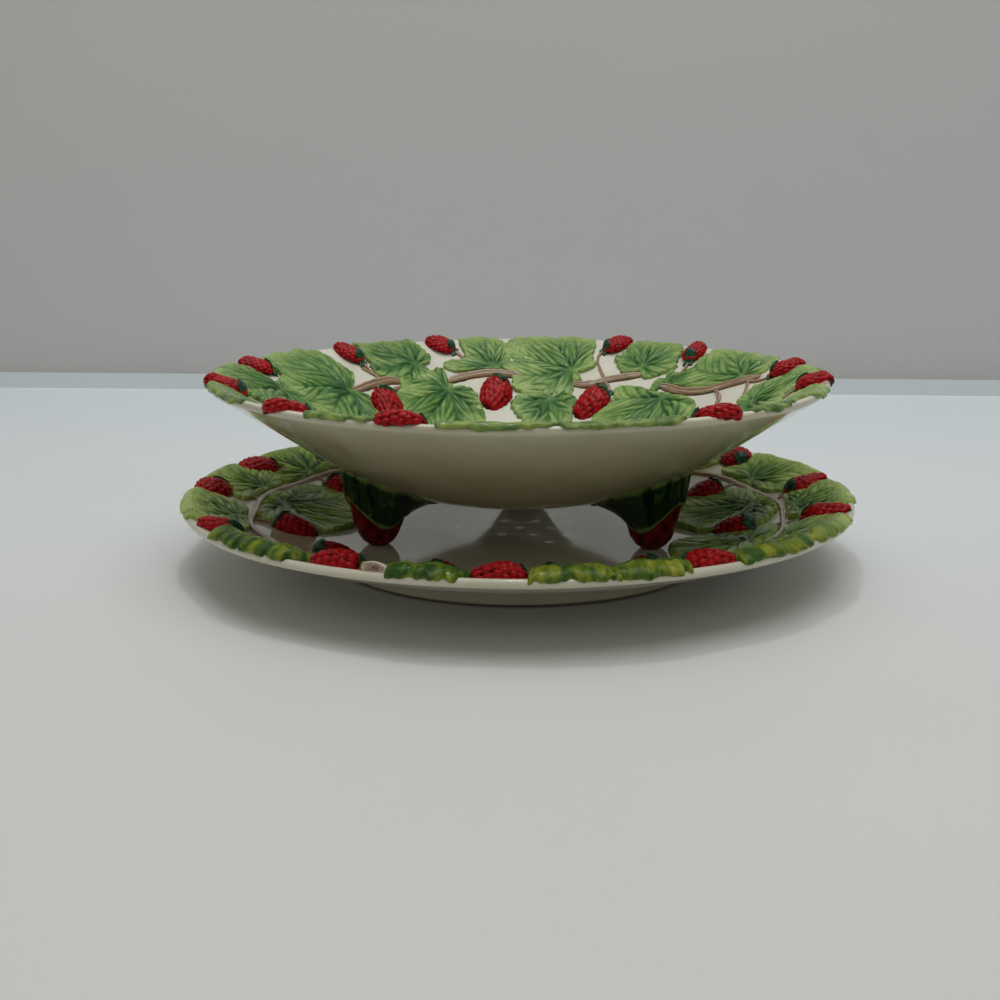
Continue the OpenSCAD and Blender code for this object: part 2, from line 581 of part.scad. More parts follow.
module bowl_hanging_berries() {
    color("crimson") for (b = bowl_hanging_berry_shares) berry(true, b, berry_rise, false);
}
module bowl_berry_caps() {
    color("darkgreen") {
        for (b = bowl_rim_berry_shares) calyx(true, b, rim_berry_rise, true);
        for (b = bowl_hanging_berry_shares) calyx(true, b, berry_rise, false);
    }
}
module underplate_rim_berries() {
    color("crimson") for (b = plate_rim_berry_shares) berry(false, b, rim_berry_rise, true);
}
module underplate_inner_berries() {
    color("crimson") for (b = plate_inner_berry_shares) berry(false, b, berry_rise, false);
}
module underplate_berry_caps() {
    color("darkgreen") {
        for (b = plate_rim_berry_shares) calyx(false, b, rim_berry_rise, true);
        for (b = plate_inner_berry_shares) calyx(false, b, berry_rise, false);
    }
}

function two(i) = i < 9 ? str("0", i + 1) : str(i + 1);
feet = ["front_right", "rear", "front_left"];

underplate_body();
underplate_vine();
underplate_rim_berries();
underplate_inner_berries();
underplate_berry_caps();
bowl_body();
bowl_vine();
bowl_rim_berries();
bowl_hanging_berries();
bowl_berry_caps();
for (k = [0 : len(feet) - 1]) {
    foot_berry(k);
    foot_leaf(k);
}
for (i = [0 : len(bowl_leaf_shares) - 1])
    bowl_leaf(i);
for (i = [0 : len(plate_leaf_shares) - 1])
    plate_leaf(i);
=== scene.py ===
"""Looks of a glazed berry colander bowl on its underplate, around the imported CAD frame.
Lengths are in millimetres until a mesh is made, and angles in degrees round the dishes."""
import math

import bpy
import numpy as np
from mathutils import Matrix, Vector


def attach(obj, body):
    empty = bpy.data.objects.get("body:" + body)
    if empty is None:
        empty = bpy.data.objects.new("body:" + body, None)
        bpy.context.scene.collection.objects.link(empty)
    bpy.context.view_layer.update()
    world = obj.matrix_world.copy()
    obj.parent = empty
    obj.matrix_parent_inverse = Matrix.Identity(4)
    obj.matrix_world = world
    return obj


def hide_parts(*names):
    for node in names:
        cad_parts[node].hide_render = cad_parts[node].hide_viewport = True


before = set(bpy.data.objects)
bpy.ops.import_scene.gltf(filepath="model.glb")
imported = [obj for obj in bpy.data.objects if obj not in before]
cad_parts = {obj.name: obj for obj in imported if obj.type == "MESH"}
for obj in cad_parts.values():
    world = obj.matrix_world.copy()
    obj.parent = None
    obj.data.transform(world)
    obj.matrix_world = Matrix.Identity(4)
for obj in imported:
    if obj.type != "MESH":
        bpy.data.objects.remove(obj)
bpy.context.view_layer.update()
MM = 0.001

# Sizes of the CAD solids
HOLE_R, HOLE_PITCH, HOLE_RINGS = 2.0, 14.5, 2
RING_R, RING_W, RING_FILLET = 87.2, 6.0, 2.2
FOOT_CIRCLE_R, FOOT_TOP_R, FOOT_TURN, FIRST_FOOT = 70.0, 14.0, 120.0, -30.0
FOOT_PROFILE = ((0, 0.29), (0.08, 0.5), (0.2, 0.66), (0.4, 0.79), (0.7, 0.91), (1, 1))
CAP_T, CAP_SPREAD, CAP_LOW, CAP_HIGH = 1.8, 13.0, 0.32, 0.79
FEET = ("front_right", "rear", "front_left")
BERRY_L, BERRY_W, BERRY_RISE = 21.0, 17.0, 7.4
VINE_W, VINE_H, STALK_W = 3.6, 2.5, 2.3
PLATE_VINE, PLATE_VINE_WAVE, PLATE_VINE_WAVES = 0.8, 0.006, 13
STUB_TURN, STUB_R, STUB_W, STUB_H, STUB_CLEAR = 252.0, 150.0, 11.0, 4.8, 6.5

# Sizes of what only this scene shows, or shows a little larger or smaller
RIM_BERRY_W, RIM_BERRY_RISE, BACK_BERRY = 14.2, 5.2, 0.86
PLATE_BERRY, PLATE_BERRY_RISE = 1.12, 6.8
BEAD = 2.9
STEM_W, STEM_H, STEM_REACH = 1.7, 1.275, 38
KNOT_PITCH, KNOT_W, THIN_L, VINE_LEAD, STALK_LEAD = 27, 1.6, 9, 6.0, 4.0
SHARP = 50


def polar(r, azimuth):
    a = np.radians(azimuth)
    return np.stack([r * np.cos(a), r * np.sin(a)], -1)


def length(p):
    return np.linalg.norm(p, axis=-1)


def heading_of(p):
    return math.degrees(math.atan2(p[1], p[0]))


def raised(xy, z):
    """Points in plan and their heights as one list of points."""
    return np.concatenate([xy, z[..., None]], -1).reshape(-1, 3)


def ease(x, low, high):
    """A smooth step from 0 at low to 1 at high."""
    t = np.clip((x - low) / (high - low), 0, 1)
    return t * t * (3 - 2 * t)


def soft_noise(p, scale, seed):
    """Smooth noise from a few sine waves, from about -1 to 1, the same on every run."""
    rng = np.random.default_rng(seed)
    total = np.zeros(p.shape[:-1])
    for _ in range(7):
        direction = rng.normal(size=p.shape[-1])
        direction /= np.linalg.norm(direction)
        total += np.sin(p @ direction * rng.uniform(0.6, 1.6) / scale + rng.uniform(0, 6.28))
    return total / 3.5


def spline(a, b, c, d, t):
    """The point at share t from b to c on a smooth curve through a, b, c and d."""
    return b + 0.5 * t * (c - a + t * (2 * a - 5 * b + 4 * c - d + t * (3 * (b - c) + d - a)))


class Dish:
    """The top surface of a dish, and how the leaves lie on it. It is flat to flat_r, then rises
    to edge_r, where the round lip starts."""

    def __init__(self, **sizes):
        self.__dict__.update(sizes)

    def out_share(self, r):
        return (r - self.flat_r) / (self.edge_r - self.flat_r)

    def top_z(self, r):
        s = np.clip(self.out_share(r), 0, None)
        wave = self.swell * np.sin(2 * np.pi * np.minimum(s, 1))
        return self.flat_z + self.rise * s ** self.power - wave

    def slope(self, r):
        step = 0.1
        return np.arctan((self.top_z(r + step) - self.top_z(r - step)) / (2 * step))

    def wall_t(self, r):
        s = np.clip(self.out_share(r), 0, 1)
        return self.wall + (self.rim_wall - self.wall) * s * s

    def under_point(self, r, depth):
        a = self.slope(r)
        return np.array([r + depth * math.sin(a), self.top_z(r) - depth * math.cos(a)])

    def stand_off(self, q, height):
        """Radius and height of points that stand off the dish, q being the radius. Past the
        edge the surface goes on round the lip."""
        half = self.rim_wall / 2
        on_top = np.minimum(q, self.edge_r)
        a = self.slope(on_top)
        turn = np.maximum(q - self.edge_r, 0) / half
        out = -np.sin(a) * np.cos(turn) + np.cos(a) * np.sin(turn)
        up = np.cos(a) * np.cos(turn) + np.sin(a) * np.sin(turn)
        lip_r, lip_z = self.under_point(self.edge_r, half)
        r = np.where(q <= self.edge_r, q, lip_r + half * out) + height * out
        z = np.where(q <= self.edge_r, self.top_z(on_top), lip_z + half * up) + height * up
        return r, z


# A leaf goes round the lip by lip_over, swells there by roll, and away from the rim reaches
# further than its solid by grow. Its side veins are pitch apart, and paint is its olive strokes
BOWL = Dish(body="bowl", rim_r=140.0, flat_r=42.0, edge_r=137.1, flat_z=37.5, rise=47.5,
            power=1.38, swell=1.3, wall=5.5, rim_wall=3.8, lip_wave=1.0, leaf_t=2.0, roll=0.0,
            lip_over=2.2, pitch=6.6, grow=0.1, paint=0.6)
PLATE = Dish(body="underplate", rim_r=153.4, flat_r=80.0, edge_r=150.8, flat_z=12.6, rise=17.9,
             power=1.45, swell=0.0, wall=5.0, rim_wall=3.8, lip_wave=0.7, leaf_t=2.6, roll=2.9,
             lip_over=1.0, pitch=7.4, grow=0.18, paint=1.0)
FOOT_H = float(BOWL.top_z(FOOT_CIRCLE_R)) - BOWL.wall - PLATE.flat_z


# Mesh making
def link(name, data):
    """A new object in the scene for a mesh, light or camera."""
    obj = bpy.data.objects.new(name, data)
    bpy.context.scene.collection.objects.link(obj)
    return obj


def new_mesh(name, verts, faces):
    """Mesh data from points in millimetres and arrays of faces."""
    mesh = bpy.data.meshes.new(name)
    sizes = np.concatenate([np.full(len(f), f.shape[1]) for f in faces])
    loops = np.concatenate([f.ravel() for f in faces])
    mesh.vertices.add(len(verts))
    mesh.vertices.foreach_set("co", (verts * MM).ravel())
    mesh.loops.add(len(loops))
    mesh.loops.foreach_set("vertex_index", loops)
    mesh.polygons.add(len(sizes))
    mesh.polygons.foreach_set("loop_start", np.concatenate([[0], np.cumsum(sizes)[:-1]]))
    mesh.update(calc_edges=True)
    mesh.validate()
    return mesh


def make(node, body, material, verts, faces, values, name=None):
    """The smooth mesh that is shown for a CAD node and rides on its body. Values are what the
    material reads at each point."""
    name = name or node + "_relief"
    mesh = new_mesh(name, verts, faces)
    for key, value in values.items():
        kind, field = ("FLOAT", "value") if value.ndim == 1 else ("FLOAT_VECTOR", "vector")
        mesh.attributes.new(key, kind, "POINT").data.foreach_set(field, value.ravel())
    mesh.shade_smooth()
    mesh.materials.append(material)
    obj = link(name, mesh)
    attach(obj, body)
    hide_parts(node)
    # A material is named after its slot, and Blender adds a number where that name is taken
    return obj


def grid(rows, cols, start=0, around=True):
    """Quads between rows of points, each row closed to a ring or open."""
    last = cols if around else cols - 1
    i, k = np.meshgrid(np.arange(last), np.arange(rows - 1))
    a = start + k * cols + i
    b = start + k * cols + (i + 1) % cols
    return np.stack([a, a + cols, b + cols, b], -1).reshape(-1, 4)


def fan(centre, start, cols, flip=False):
    """Triangles from a ring of points to one point."""
    i = np.arange(cols)
    a, b = start + i, start + (i + 1) % cols
    c = np.full(cols, centre)
    return np.stack([c, b, a] if flip else [c, a, b], -1)


def end_fans(rows, cols):
    """Fans that close the first and the last ring, each on one of the two last points."""
    end = rows * cols
    return [fan(end, 0, cols, flip=True), fan(end + 1, end - cols, cols)]


def base(rows, cols):
    """Quads under a half round piece, between the two ends of its open rows."""
    i = np.arange(rows - 1) * cols
    return np.stack([i, i + cols - 1, i + 2 * cols - 1, i + cols], -1)


def fan_list(index):
    """Triangles that close a row of points onto its first point."""
    return np.stack([np.full(len(index) - 2, index[0]), index[1:-1], index[2:]], -1)


class Batch:
    """Several closed pieces gathered into one mesh."""

    def __init__(self):
        self.verts, self.faces, self.values, self.count = [], [], {}, 0

    def add(self, verts, faces, values):
        self.verts.append(verts)
        self.faces += [f + self.count for f in faces]
        self.count += len(verts)
        for key, value in values.items():
            self.values.setdefault(key, []).append(value)

    def build(self, node, body, material):
        values = {key: np.concatenate(parts) for key, parts in self.values.items()}
        return make(node, body, material, np.concatenate(self.verts), self.faces, values)


# Materials, whose colours are the 0 to 255 values of a screen
def linear(colour):
    return tuple((c / 255 / 12.92 if c / 255 <= 0.04045 else ((c / 255 + 0.055) / 1.055) ** 2.4)
                 for c in colour) + (1,)


class Nodes:
    """Short names for building a material's nodes."""

    def __init__(self, name):
        self.material = bpy.data.materials.new(name)
        self.material.use_nodes = True
        self.tree = self.material.node_tree
        self.shader = self.tree.nodes["Principled BSDF"]

    def put(self, socket, value):
        """Feeds a socket from another one, or with a number or a colour."""
        if isinstance(value, bpy.types.NodeSocket):
            self.tree.links.new(value, socket)
        elif value is not None:
            socket.default_value = linear(value) if isinstance(value, tuple) else value

    def new(self, kind, inputs=None, output=0, **settings):
        """One output of a new shader node."""
        node = self.tree.nodes.new("ShaderNode" + kind)
        for key, value in settings.items():
            setattr(node, key, value)
        for key, value in (inputs or {}).items():
            self.put(node.inputs[key], value)
        return node.outputs[output]

    def attribute(self, name, output="Fac"):
        return self.new("Attribute", output=output, attribute_name=name)

    def place(self):
        return self.new("TexCoord", output="Object")

    def noise(self, scale, detail, rough=0.55, distortion=0.0, on=None):
        inputs = {"Vector": self.place() if on is None else on, "Scale": scale,
                  "Detail": detail, "Roughness": rough, "Distortion": distortion}
        return self.new("TexNoise", inputs, "Fac")

    def math(self, how, a, b, c=None, clamp=False):
        return self.new("Math", {0: a, 1: b, 2: c}, operation=how, use_clamp=clamp)

    def scaled(self, value, by, plus=None):
        return self.math("MULTIPLY" if plus is None else "MULTIPLY_ADD", value, by, plus)

    def grooved(self, value, name, by):
        """A value made darker where an attribute is high, and kept from 0 to 1."""
        return self.math("SUBTRACT", value, self.scaled(self.attribute(name), by), clamp=True)

    def ramp(self, fac, *stops):
        colour = self.new("ValToRGB", {"Fac": fac}, "Color")
        points = colour.node.color_ramp.elements
        while len(points) < len(stops):
            points.new(0.5)
        for point, (where, shade) in zip(points, stops):
            point.position, point.color = where, linear(shade)
        return colour

    def step(self, fac, low, high):
        return self.new("MapRange", {"Value": fac, "From Min": low, "From Max": high}, "Result",
                        interpolation_type="SMOOTHSTEP")

    def mix(self, fac, a, b):
        return self.new("Mix", {"Factor": fac, 6: a, 7: b}, 2, data_type="RGBA")

    def bump(self, height, strength, distance):
        inputs = {"Strength": strength, "Distance": distance, "Height": height}
        return self.new("Bump", inputs, "Normal")

    def finish(self, colour, roughness, normal=None, coat=0.6, specular=0.2):
        inputs = {"Base Color": colour, "Roughness": roughness, "Normal": normal,
                  "Coat Weight": coat, "Coat Roughness": 0.05, "Specular IOR Level": specular}
        for key, value in inputs.items():
            self.put(self.shader.inputs[key], value)
        return self.material


def cream_glaze():
    """Clear glaze over a pale body, yellower on the outside with painted shade mixed into that outer
    colour, and dark on the foot ring's edge.
    """
    n = Nodes("cream_glaze")
    cloud = n.noise(28, 4)
    inside = n.ramp(cloud, (0.3, (212, 210, 194)), (0.7, (224, 223, 210)))
    # The outer colour is partly a yellower glaze and partly painted shade, darker than the glaze inside
    outside = n.ramp(cloud, (0.3, (150, 138, 88)), (0.7, (172, 160, 114)))
    colour = n.mix(n.attribute("outside"), inside, outside)
    colour = n.mix(n.attribute("ring_edge_dark"), colour, (62, 48, 30))
    speck = n.step(n.noise(900, 2), 0.72, 0.8)
    colour = n.mix(n.scaled(speck, 0.12), colour, (150, 130, 105))
    rough = n.scaled(n.noise(60, 3), 0.10, 0.05)
    return n.finish(colour, rough, n.bump(n.noise(55, 2), 0.05, 0.0012), coat=0.5)


def leaf_glaze(name, light, mid, deep, dark, olive, teal, coat):
    """Painted majolica leaf: dark in the grooves, light on the ribs and towards the margin. On
    the rim it is painted over with strokes of olive."""
    n = Nodes(name)
    reach = n.attribute("reach")
    stroke = n.noise(1.0, 3, 0.6, on=n.attribute("brush", "Vector"))
    blot = n.noise(95, 3, 0.6, 0.6)
    tone = n.scaled(reach, 0.42, 0.32)
    tone = n.math("SUBTRACT", tone, n.scaled(n.attribute("groove"), 0.52))
    tone = n.math("ADD", tone, n.scaled(stroke, 1.15, -0.5))
    tone = n.math("ADD", tone, n.scaled(blot, 0.5, -0.26))
    tone = n.math("ADD", tone, n.attribute("shade"), clamp=True)
    colour = n.ramp(tone, (0.0, dark), (0.2, deep), (0.46, mid), (0.8, light))
    cool = n.scaled(n.step(n.noise(60, 2), 0.5, 0.66), 0.5)
    colour = n.mix(n.scaled(cool, n.math("SUBTRACT", 1.0, reach)), colour, teal)
    coarse = n.scaled(stroke, 1.0, n.scaled(blot, 0.5, -0.2))
    painted = n.ramp(coarse, (0.42, (16, 60, 26)), (0.53, (44, 82, 22)), (0.62, olive),
                     (0.8, (152, 156, 56)))
    colour = n.mix(n.scaled(n.attribute("rim"), 0.92), colour, painted)
    fine = n.math("ADD", n.scaled(stroke, 0.7), n.scaled(blot, 0.6))
    return n.finish(colour, n.scaled(stroke, 0.12, 0.12), n.bump(fine, 0.4, 0.0014), coat=coat,
                    specular=0.07)


def berry_glaze(name, light, mid, dark):
    n = Nodes(name)
    cloud = n.noise(160, 3)
    tone = n.grooved(n.scaled(cloud, 0.7, 0.32), "crevice", 0.8)
    colour = n.ramp(tone, (0.05, dark), (0.42, mid), (0.85, light))
    return n.finish(colour, n.scaled(cloud, 0.16, 0.2), n.bump(n.noise(420, 2), 0.2, 0.0006),
                    coat=0.16, specular=0.06)


def cap_glaze(name, light, mid, dark):
    n = Nodes(name)
    cloud = n.noise(190, 3, 0.6, 0.5)
    tone = n.grooved(n.scaled(cloud, 0.9, 0.02), "groove", 0.3)
    tone = n.math("ADD", tone, n.attribute("margin"), clamp=True)
    colour = n.ramp(tone, (0.1, dark), (0.5, mid), (0.95, light))
    return n.finish(colour, 0.16, n.bump(cloud, 0.3, 0.0012), coat=0.35, specular=0.12)


def vine_glaze():
    n = Nodes("vine_glaze")
    streak = n.noise(1.0, 3, 0.6, on=n.attribute("brush", "Vector"))
    tone = n.grooved(n.scaled(streak, 1.1, 0.05), "groove", 0.45)
    colour = n.ramp(tone, (0.05, (76, 54, 40)), (0.4, (146, 112, 80)), (0.75, (190, 168, 146)),
                    (1.0, (214, 202, 190)))
    return n.finish(colour, n.scaled(streak, 0.15, 0.12), n.bump(streak, 0.4, 0.001))


CREAM = cream_glaze()
BOWL_LEAF = leaf_glaze("bowl_leaf_glaze", (156, 182, 108), (92, 132, 64), (48, 96, 42),
                       (18, 52, 22), (104, 124, 44), (52, 106, 64), 0.25)
PLATE_LEAF = leaf_glaze("plate_leaf_glaze", (176, 198, 110), (108, 142, 60), (50, 92, 36),
                        (6, 32, 12), (96, 110, 16), (38, 96, 52), 0.1)
BERRY = berry_glaze("berry_glaze", (190, 32, 36), (150, 10, 18), (76, 2, 8))
FOOT_BERRY = berry_glaze("foot_berry_glaze", (136, 22, 22), (104, 10, 12), (60, 4, 6))
BERRY_CAP = cap_glaze("berry_cap_glaze", (64, 120, 78), (20, 74, 50), (6, 34, 24))
FOOT_LEAF = cap_glaze("foot_leaf_glaze", (104, 122, 58), (14, 50, 22), (3, 18, 9))
VINE = vine_glaze()


# The two dishes
def dish_section(dish):
    """Radius and height down the middle of the underside, round the lip and back on top."""
    stations = dish.flat_r + (dish.edge_r - dish.flat_r) * np.linspace(0, 1, 44)
    low, inner_r = dish.flat_z - dish.wall, dish.flat_r * 0.5
    section = [[0.0, low], [inner_r, low]]
    wall = [[dish.flat_r, low]] + [dish.under_point(r, dish.wall_t(r)) for r in stations[1:]]
    if dish is PLATE:
        # The foot ring, whose edges are rounded
        ring_in = RING_R - RING_W
        section += [[ring_in - RING_FILLET, low], [ring_in - 0.6, low - 1.0], [ring_in, 1.2],
                    [ring_in + 0.9, 0.15], [ring_in + 1.8, 0.0], [RING_R - 1.8, 0.0],
                    [RING_R - 0.9, 0.15], [RING_R, 1.1], [RING_R + 0.05, 1.8],
                    [RING_R + 0.6, low - 1.2]]
        wall = [p for p in wall if p[0] > RING_R + RING_FILLET]
    middle = dish.under_point(dish.edge_r, dish.rim_wall / 2)
    a = math.degrees(dish.slope(dish.edge_r))
    lip = [middle + polar(dish.rim_wall / 2, a - 90 + 180 * i / 10) for i in range(1, 10)]
    inside = [[r, dish.top_z(r)] for r in stations[::-1]]
    return np.array(section + wall + lip + inside + [[inner_r, dish.flat_z], [0.0, dish.flat_z]])


def dish_shell(dish, seed):
    """A whole dish, a little uneven towards its rim. The material reads the outer colour, which also
    carries painted shade, and where the foot ring's edge is dark."""
    section = dish_section(dish)
    around = 360
    rows = section[1:-1]
    count = len(rows)
    rr, zz = (np.repeat(rows[:, [k]], around, 1) for k in (0, 1))
    out = polar(1.0, np.arange(around) * 360 / around)
    ripple = soft_noise(out * 100, 9.0, seed)
    slow = soft_noise(out * 100, 40.0, seed + 1)
    near_rim = ease(rr, dish.rim_r * 0.90, dish.rim_r)
    inward = np.clip(dish.rim_r - rr.max(), 0, None)
    rr = rr + near_rim * (dish.lip_wave * (ripple - 1.0) * 0.5 + inward)
    zz = zz + near_rim * dish.lip_wave * 0.6 * slow + ease(rr, dish.flat_r, dish.rim_r) * 0.3 * slow
    verts = np.concatenate([raised(rr[..., None] * out, zz),
                            [[0, 0, section[0, 1]], [0, 0, section[-1, 1]]]])
    # The bowl's outer colour, with its painted shade, starts on top of its lip, the underplate's under it
    under = np.arange(count) < np.argmax(rows[:, 0]) + (3 if dish is BOWL else 0)
    down = 1 - np.clip(dish.out_share(rows[:, 0]), 0, 1)
    # Painted shade: the bowl's outside darkens towards its foot, and the underplate's top and underside get
    # part of the darker outer colour
    low_tint_and_shade, top_tint_and_shade = (0.4 + 0.6 * down ** 0.7, 0.0) if dish is BOWL else (0.35, 0.2)
    outer_tint_and_shade = np.where(under, low_tint_and_shade, top_tint_and_shade)
    # The foot ring's bottom edge, up to about 1.8 mm high, is coloured dark brown
    ring_edge_dark = 1 - ease(rows[:, 1], 0.6, 1.8)
    values = {"outside": np.concatenate([np.repeat(outer_tint_and_shade, around), [1, outer_tint_and_shade[-1]]]),
              "ring_edge_dark": np.concatenate([np.repeat(ring_edge_dark, around), [0, 0]])}
    return make(dish.body + "_body", dish.body, CREAM, verts,
                [grid(count, around)] + end_fans(count, around), values, dish.body + "_shell")


def drill(shell):
    """Cuts the drain holes, which widen a little at both ends."""
    low, high = BOWL.flat_z - BOWL.wall - 2, BOWL.flat_z + 2
    top = high - 1.2
    section = [[HOLE_R + 0.8, low], [HOLE_R, low + 3.2], [HOLE_R, high - 3.0],
               [HOLE_R + 0.35, high - 2.2], [HOLE_R + 1.6, top]]
    sides, rows, last = 24, len(section), HOLE_RINGS
    ring = polar(1.0, np.arange(sides) * 360 / sides)
    rings = [raised(ring * r, np.full(sides, z)) for r, z in section]
    tool = np.concatenate(rings + [[[0, 0, low], [0, 0, top]]])
    faces = [grid(rows, sides)[:, ::-1]] + end_fans(rows, sides)
    tools = Batch()
    for j in range(-last, last + 1):
        for i in range(max(-last, -last - j), min(last, last - j) + 1):
            x, y = (i + j / 2) * HOLE_PITCH, j * HOLE_PITCH * math.sin(math.pi / 3)
            tools.add(tool + [x, y, 0], faces, {})
    cutter = link("drill", new_mesh("drill", np.concatenate(tools.verts), tools.faces))
    cut = shell.modifiers.new("holes", "BOOLEAN")
    cut.operation, cut.solver, cut.object = "DIFFERENCE", "EXACT", cutter
    bpy.context.view_layer.update()
    drilled = shell.evaluated_get(bpy.context.evaluated_depsgraph_get())
    done = bpy.data.meshes.new_from_object(drilled)
    shell.modifiers.clear()
    shell.data = done
    bpy.data.objects.remove(cutter)


# What is read from the CAD nodes
def welded(node):
    """A node's own points in millimetres, its triangles and how many triangles each point has."""
    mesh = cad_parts[node].data
    co = np.empty(len(mesh.vertices) * 3)
    mesh.vertices.foreach_get("co", co)
    mesh.calc_loop_triangles()
    tri = np.empty(len(mesh.loop_triangles) * 3, dtype=np.int64)
    mesh.loop_triangles.foreach_get("vertices", tri)
    points, index = np.unique(np.round(co.reshape(-1, 3) / MM, 3), axis=0, return_inverse=True)
    tri = index.ravel()[tri].reshape(-1, 3)
    return points, tri, np.bincount(tri.ravel(), minlength=len(points))


def hub(points, fans):
    """The middle in plan of a solid, at the two points where most of its triangles meet."""
    return points[np.argsort(fans)[-2:], :2].mean(0)


def leaf_outline(node, spokes=30):
    """A leaf's stalk point, and how far it reaches on each spoke, from its CAD solid."""
    points, _, fans = welded(node)
    origin = hub(points, fans)
    d = points[:, :2] - origin
    far = length(d)
    angle = np.degrees(np.arctan2(d[:, 1], d[:, 0]))
    first = angle[np.argmax(far)]
    key = np.round((angle - first) * spokes / 360).astype(int) % spokes
    reach = np.zeros(spokes)
    np.maximum.at(reach, key[far > 0.05], far[far > 0.05])
    return origin, first, reach


def components(node):
    """The separate solids of a node, as lists of points with the number of triangles on each."""
    points, tri, fans = welded(node)
    label = np.arange(len(points))
    while True:
        low = label.copy()
        least = label[tri].min(1)
        for k in range(3):
            np.minimum.at(low, tri[:, k], least)
        if (low == label).all():
            break
        label = low
    return [(points[label == v], fans[label == v]) for v in np.unique(label)]


# Leaves
MAIN_VEINS = (0, 38, -38, 77, -77, 120, -120)
SIDE_VEIN_ANGLE = 30
LEAF_SUNK, EDGE_SUNK, TOOTH = 0.6, 0.4, 1.5
LEAF_STEP, LEAF_POINTS, LEAF_ROW, LEAF_ROWS = 0.7, (110, 270), 0.85, (16, 50)


def round_curve(values, t):
    """Smooth closed curve through values, at t from 0 to 1."""
    x = t * len(values)
    i = np.floor(x).astype(int)
    return spline(*(values[(i + k) % len(values)] for k in (-1, 0, 1, 2)), x - i)


def clear_of_stub(origin, ahead, size):
    """A leaf's reach on each spoke, kept away from the sawn branch end on the underplate."""
    stub = polar(STUB_R, STUB_TURN) - origin
    near = ahead @ stub
    miss = (stub @ stub) - near ** 2
    clear = STUB_CLEAR ** 2 - miss
    stop = near - np.sqrt(np.clip(clear, 0, None))
    return np.where((clear > 0) & (near > 0) & (size > stop), np.maximum(stop, 2.0), size)


def leaf_margin(node, dish, rng):
    """Points round a leaf's edge as angle and reach, which on a rim goes over the lip."""
    origin, first, reach = leaf_outline(node)
    full = np.linspace(0, 1, 1441)
    size = np.maximum(round_curve(reach, full[:-1]), 0.6)
    ahead = polar(1.0, first + 360 * full[:-1])
    if dish is PLATE:
        size = clear_of_stub(origin, ahead, size)
    edge = origin + size[:, None] * ahead
    r = length(edge)
    outward = (ahead * edge).sum(1) / r
    on_rim = ease(r, dish.rim_r - 4, dish.rim_r - 1.6)
    wave = 1 + 0.5 * soft_noise(edge, 2.6, int(rng.integers(999)))
    if dish is PLATE:
        # In front the underplate's lip stays barer
        wave = wave * (1 - 0.2 * ease(-edge[:, 1] / r, 0.55, 0.85))
    past = dish.lip_over * wave * on_rim
    size = size * (1 + dish.grow * (1 - on_rim * ease(outward, 0.35, 0.8)))
    size = size + past * ease(outward, 0.1, 0.6) / np.maximum(outward, 0.45)
    # Points are spread by the edge's length more than by its angle
    edge = size[:, None] * ahead
    run = np.concatenate([[0], np.cumsum(length(np.roll(edge, -1, 0) - edge))])
    around = int(np.clip(run[-1] / LEAF_STEP, *LEAF_POINTS))
    t = np.interp(np.arange(around) / around, 0.65 * run / run[-1] + 0.35 * full, full)
    size = np.interp(t, full, np.append(size, size[0]))
    return origin, first + 360 * t, size, heading_of(edge.mean(0))


def vein_run(rho, turn, veins, pitch):
    """The side veins as a running number, and the distance to the nearest main vein."""
    off = np.abs(turn[..., None] - np.radians(veins)).min(-1)
    away = rho * np.sin(np.minimum(off, np.pi / 2))
    return (rho * np.cos(off) - away / math.tan(math.radians(SIDE_VEIN_ANGLE))) / pitch, away


def rim_ends(plan, edge, on_rim):
    """Where points are along the rim, and how far from the ends of the leaf's part on it."""
    heading = math.radians(heading_of(edge.mean(0)))

    def along(p):
        a = np.arctan2(p[..., 1], p[..., 0]) - heading
        return ((a + np.pi) % (2 * np.pi) - np.pi) * length(p)

    ends = along(edge[on_rim > 0.5]) if (on_rim > 0.5).any() else np.zeros(1)
    here = along(plan)
    return here, np.minimum(here - ends.min(), ends.max() - here)


def leaf_back(dish, origin, edge):
    """Two rings and two middle points, one over and one under the glaze, that close a leaf."""
    rings = []
    for k in (0.66, 0.33):
        p = origin + k * (edge - origin)
        q = length(p)
        r, z = dish.stand_off(np.minimum(q, dish.edge_r), np.full(len(p), -LEAF_SUNK))
        rings.append(raised(p * (r / q)[:, None], z))
    heart = np.full(2, length(origin))
    r, z = dish.stand_off(heart, np.array([dish.leaf_t * 0.7, -LEAF_SUNK]))
    return rings + [raised(np.outer(r / heart, origin), z)]


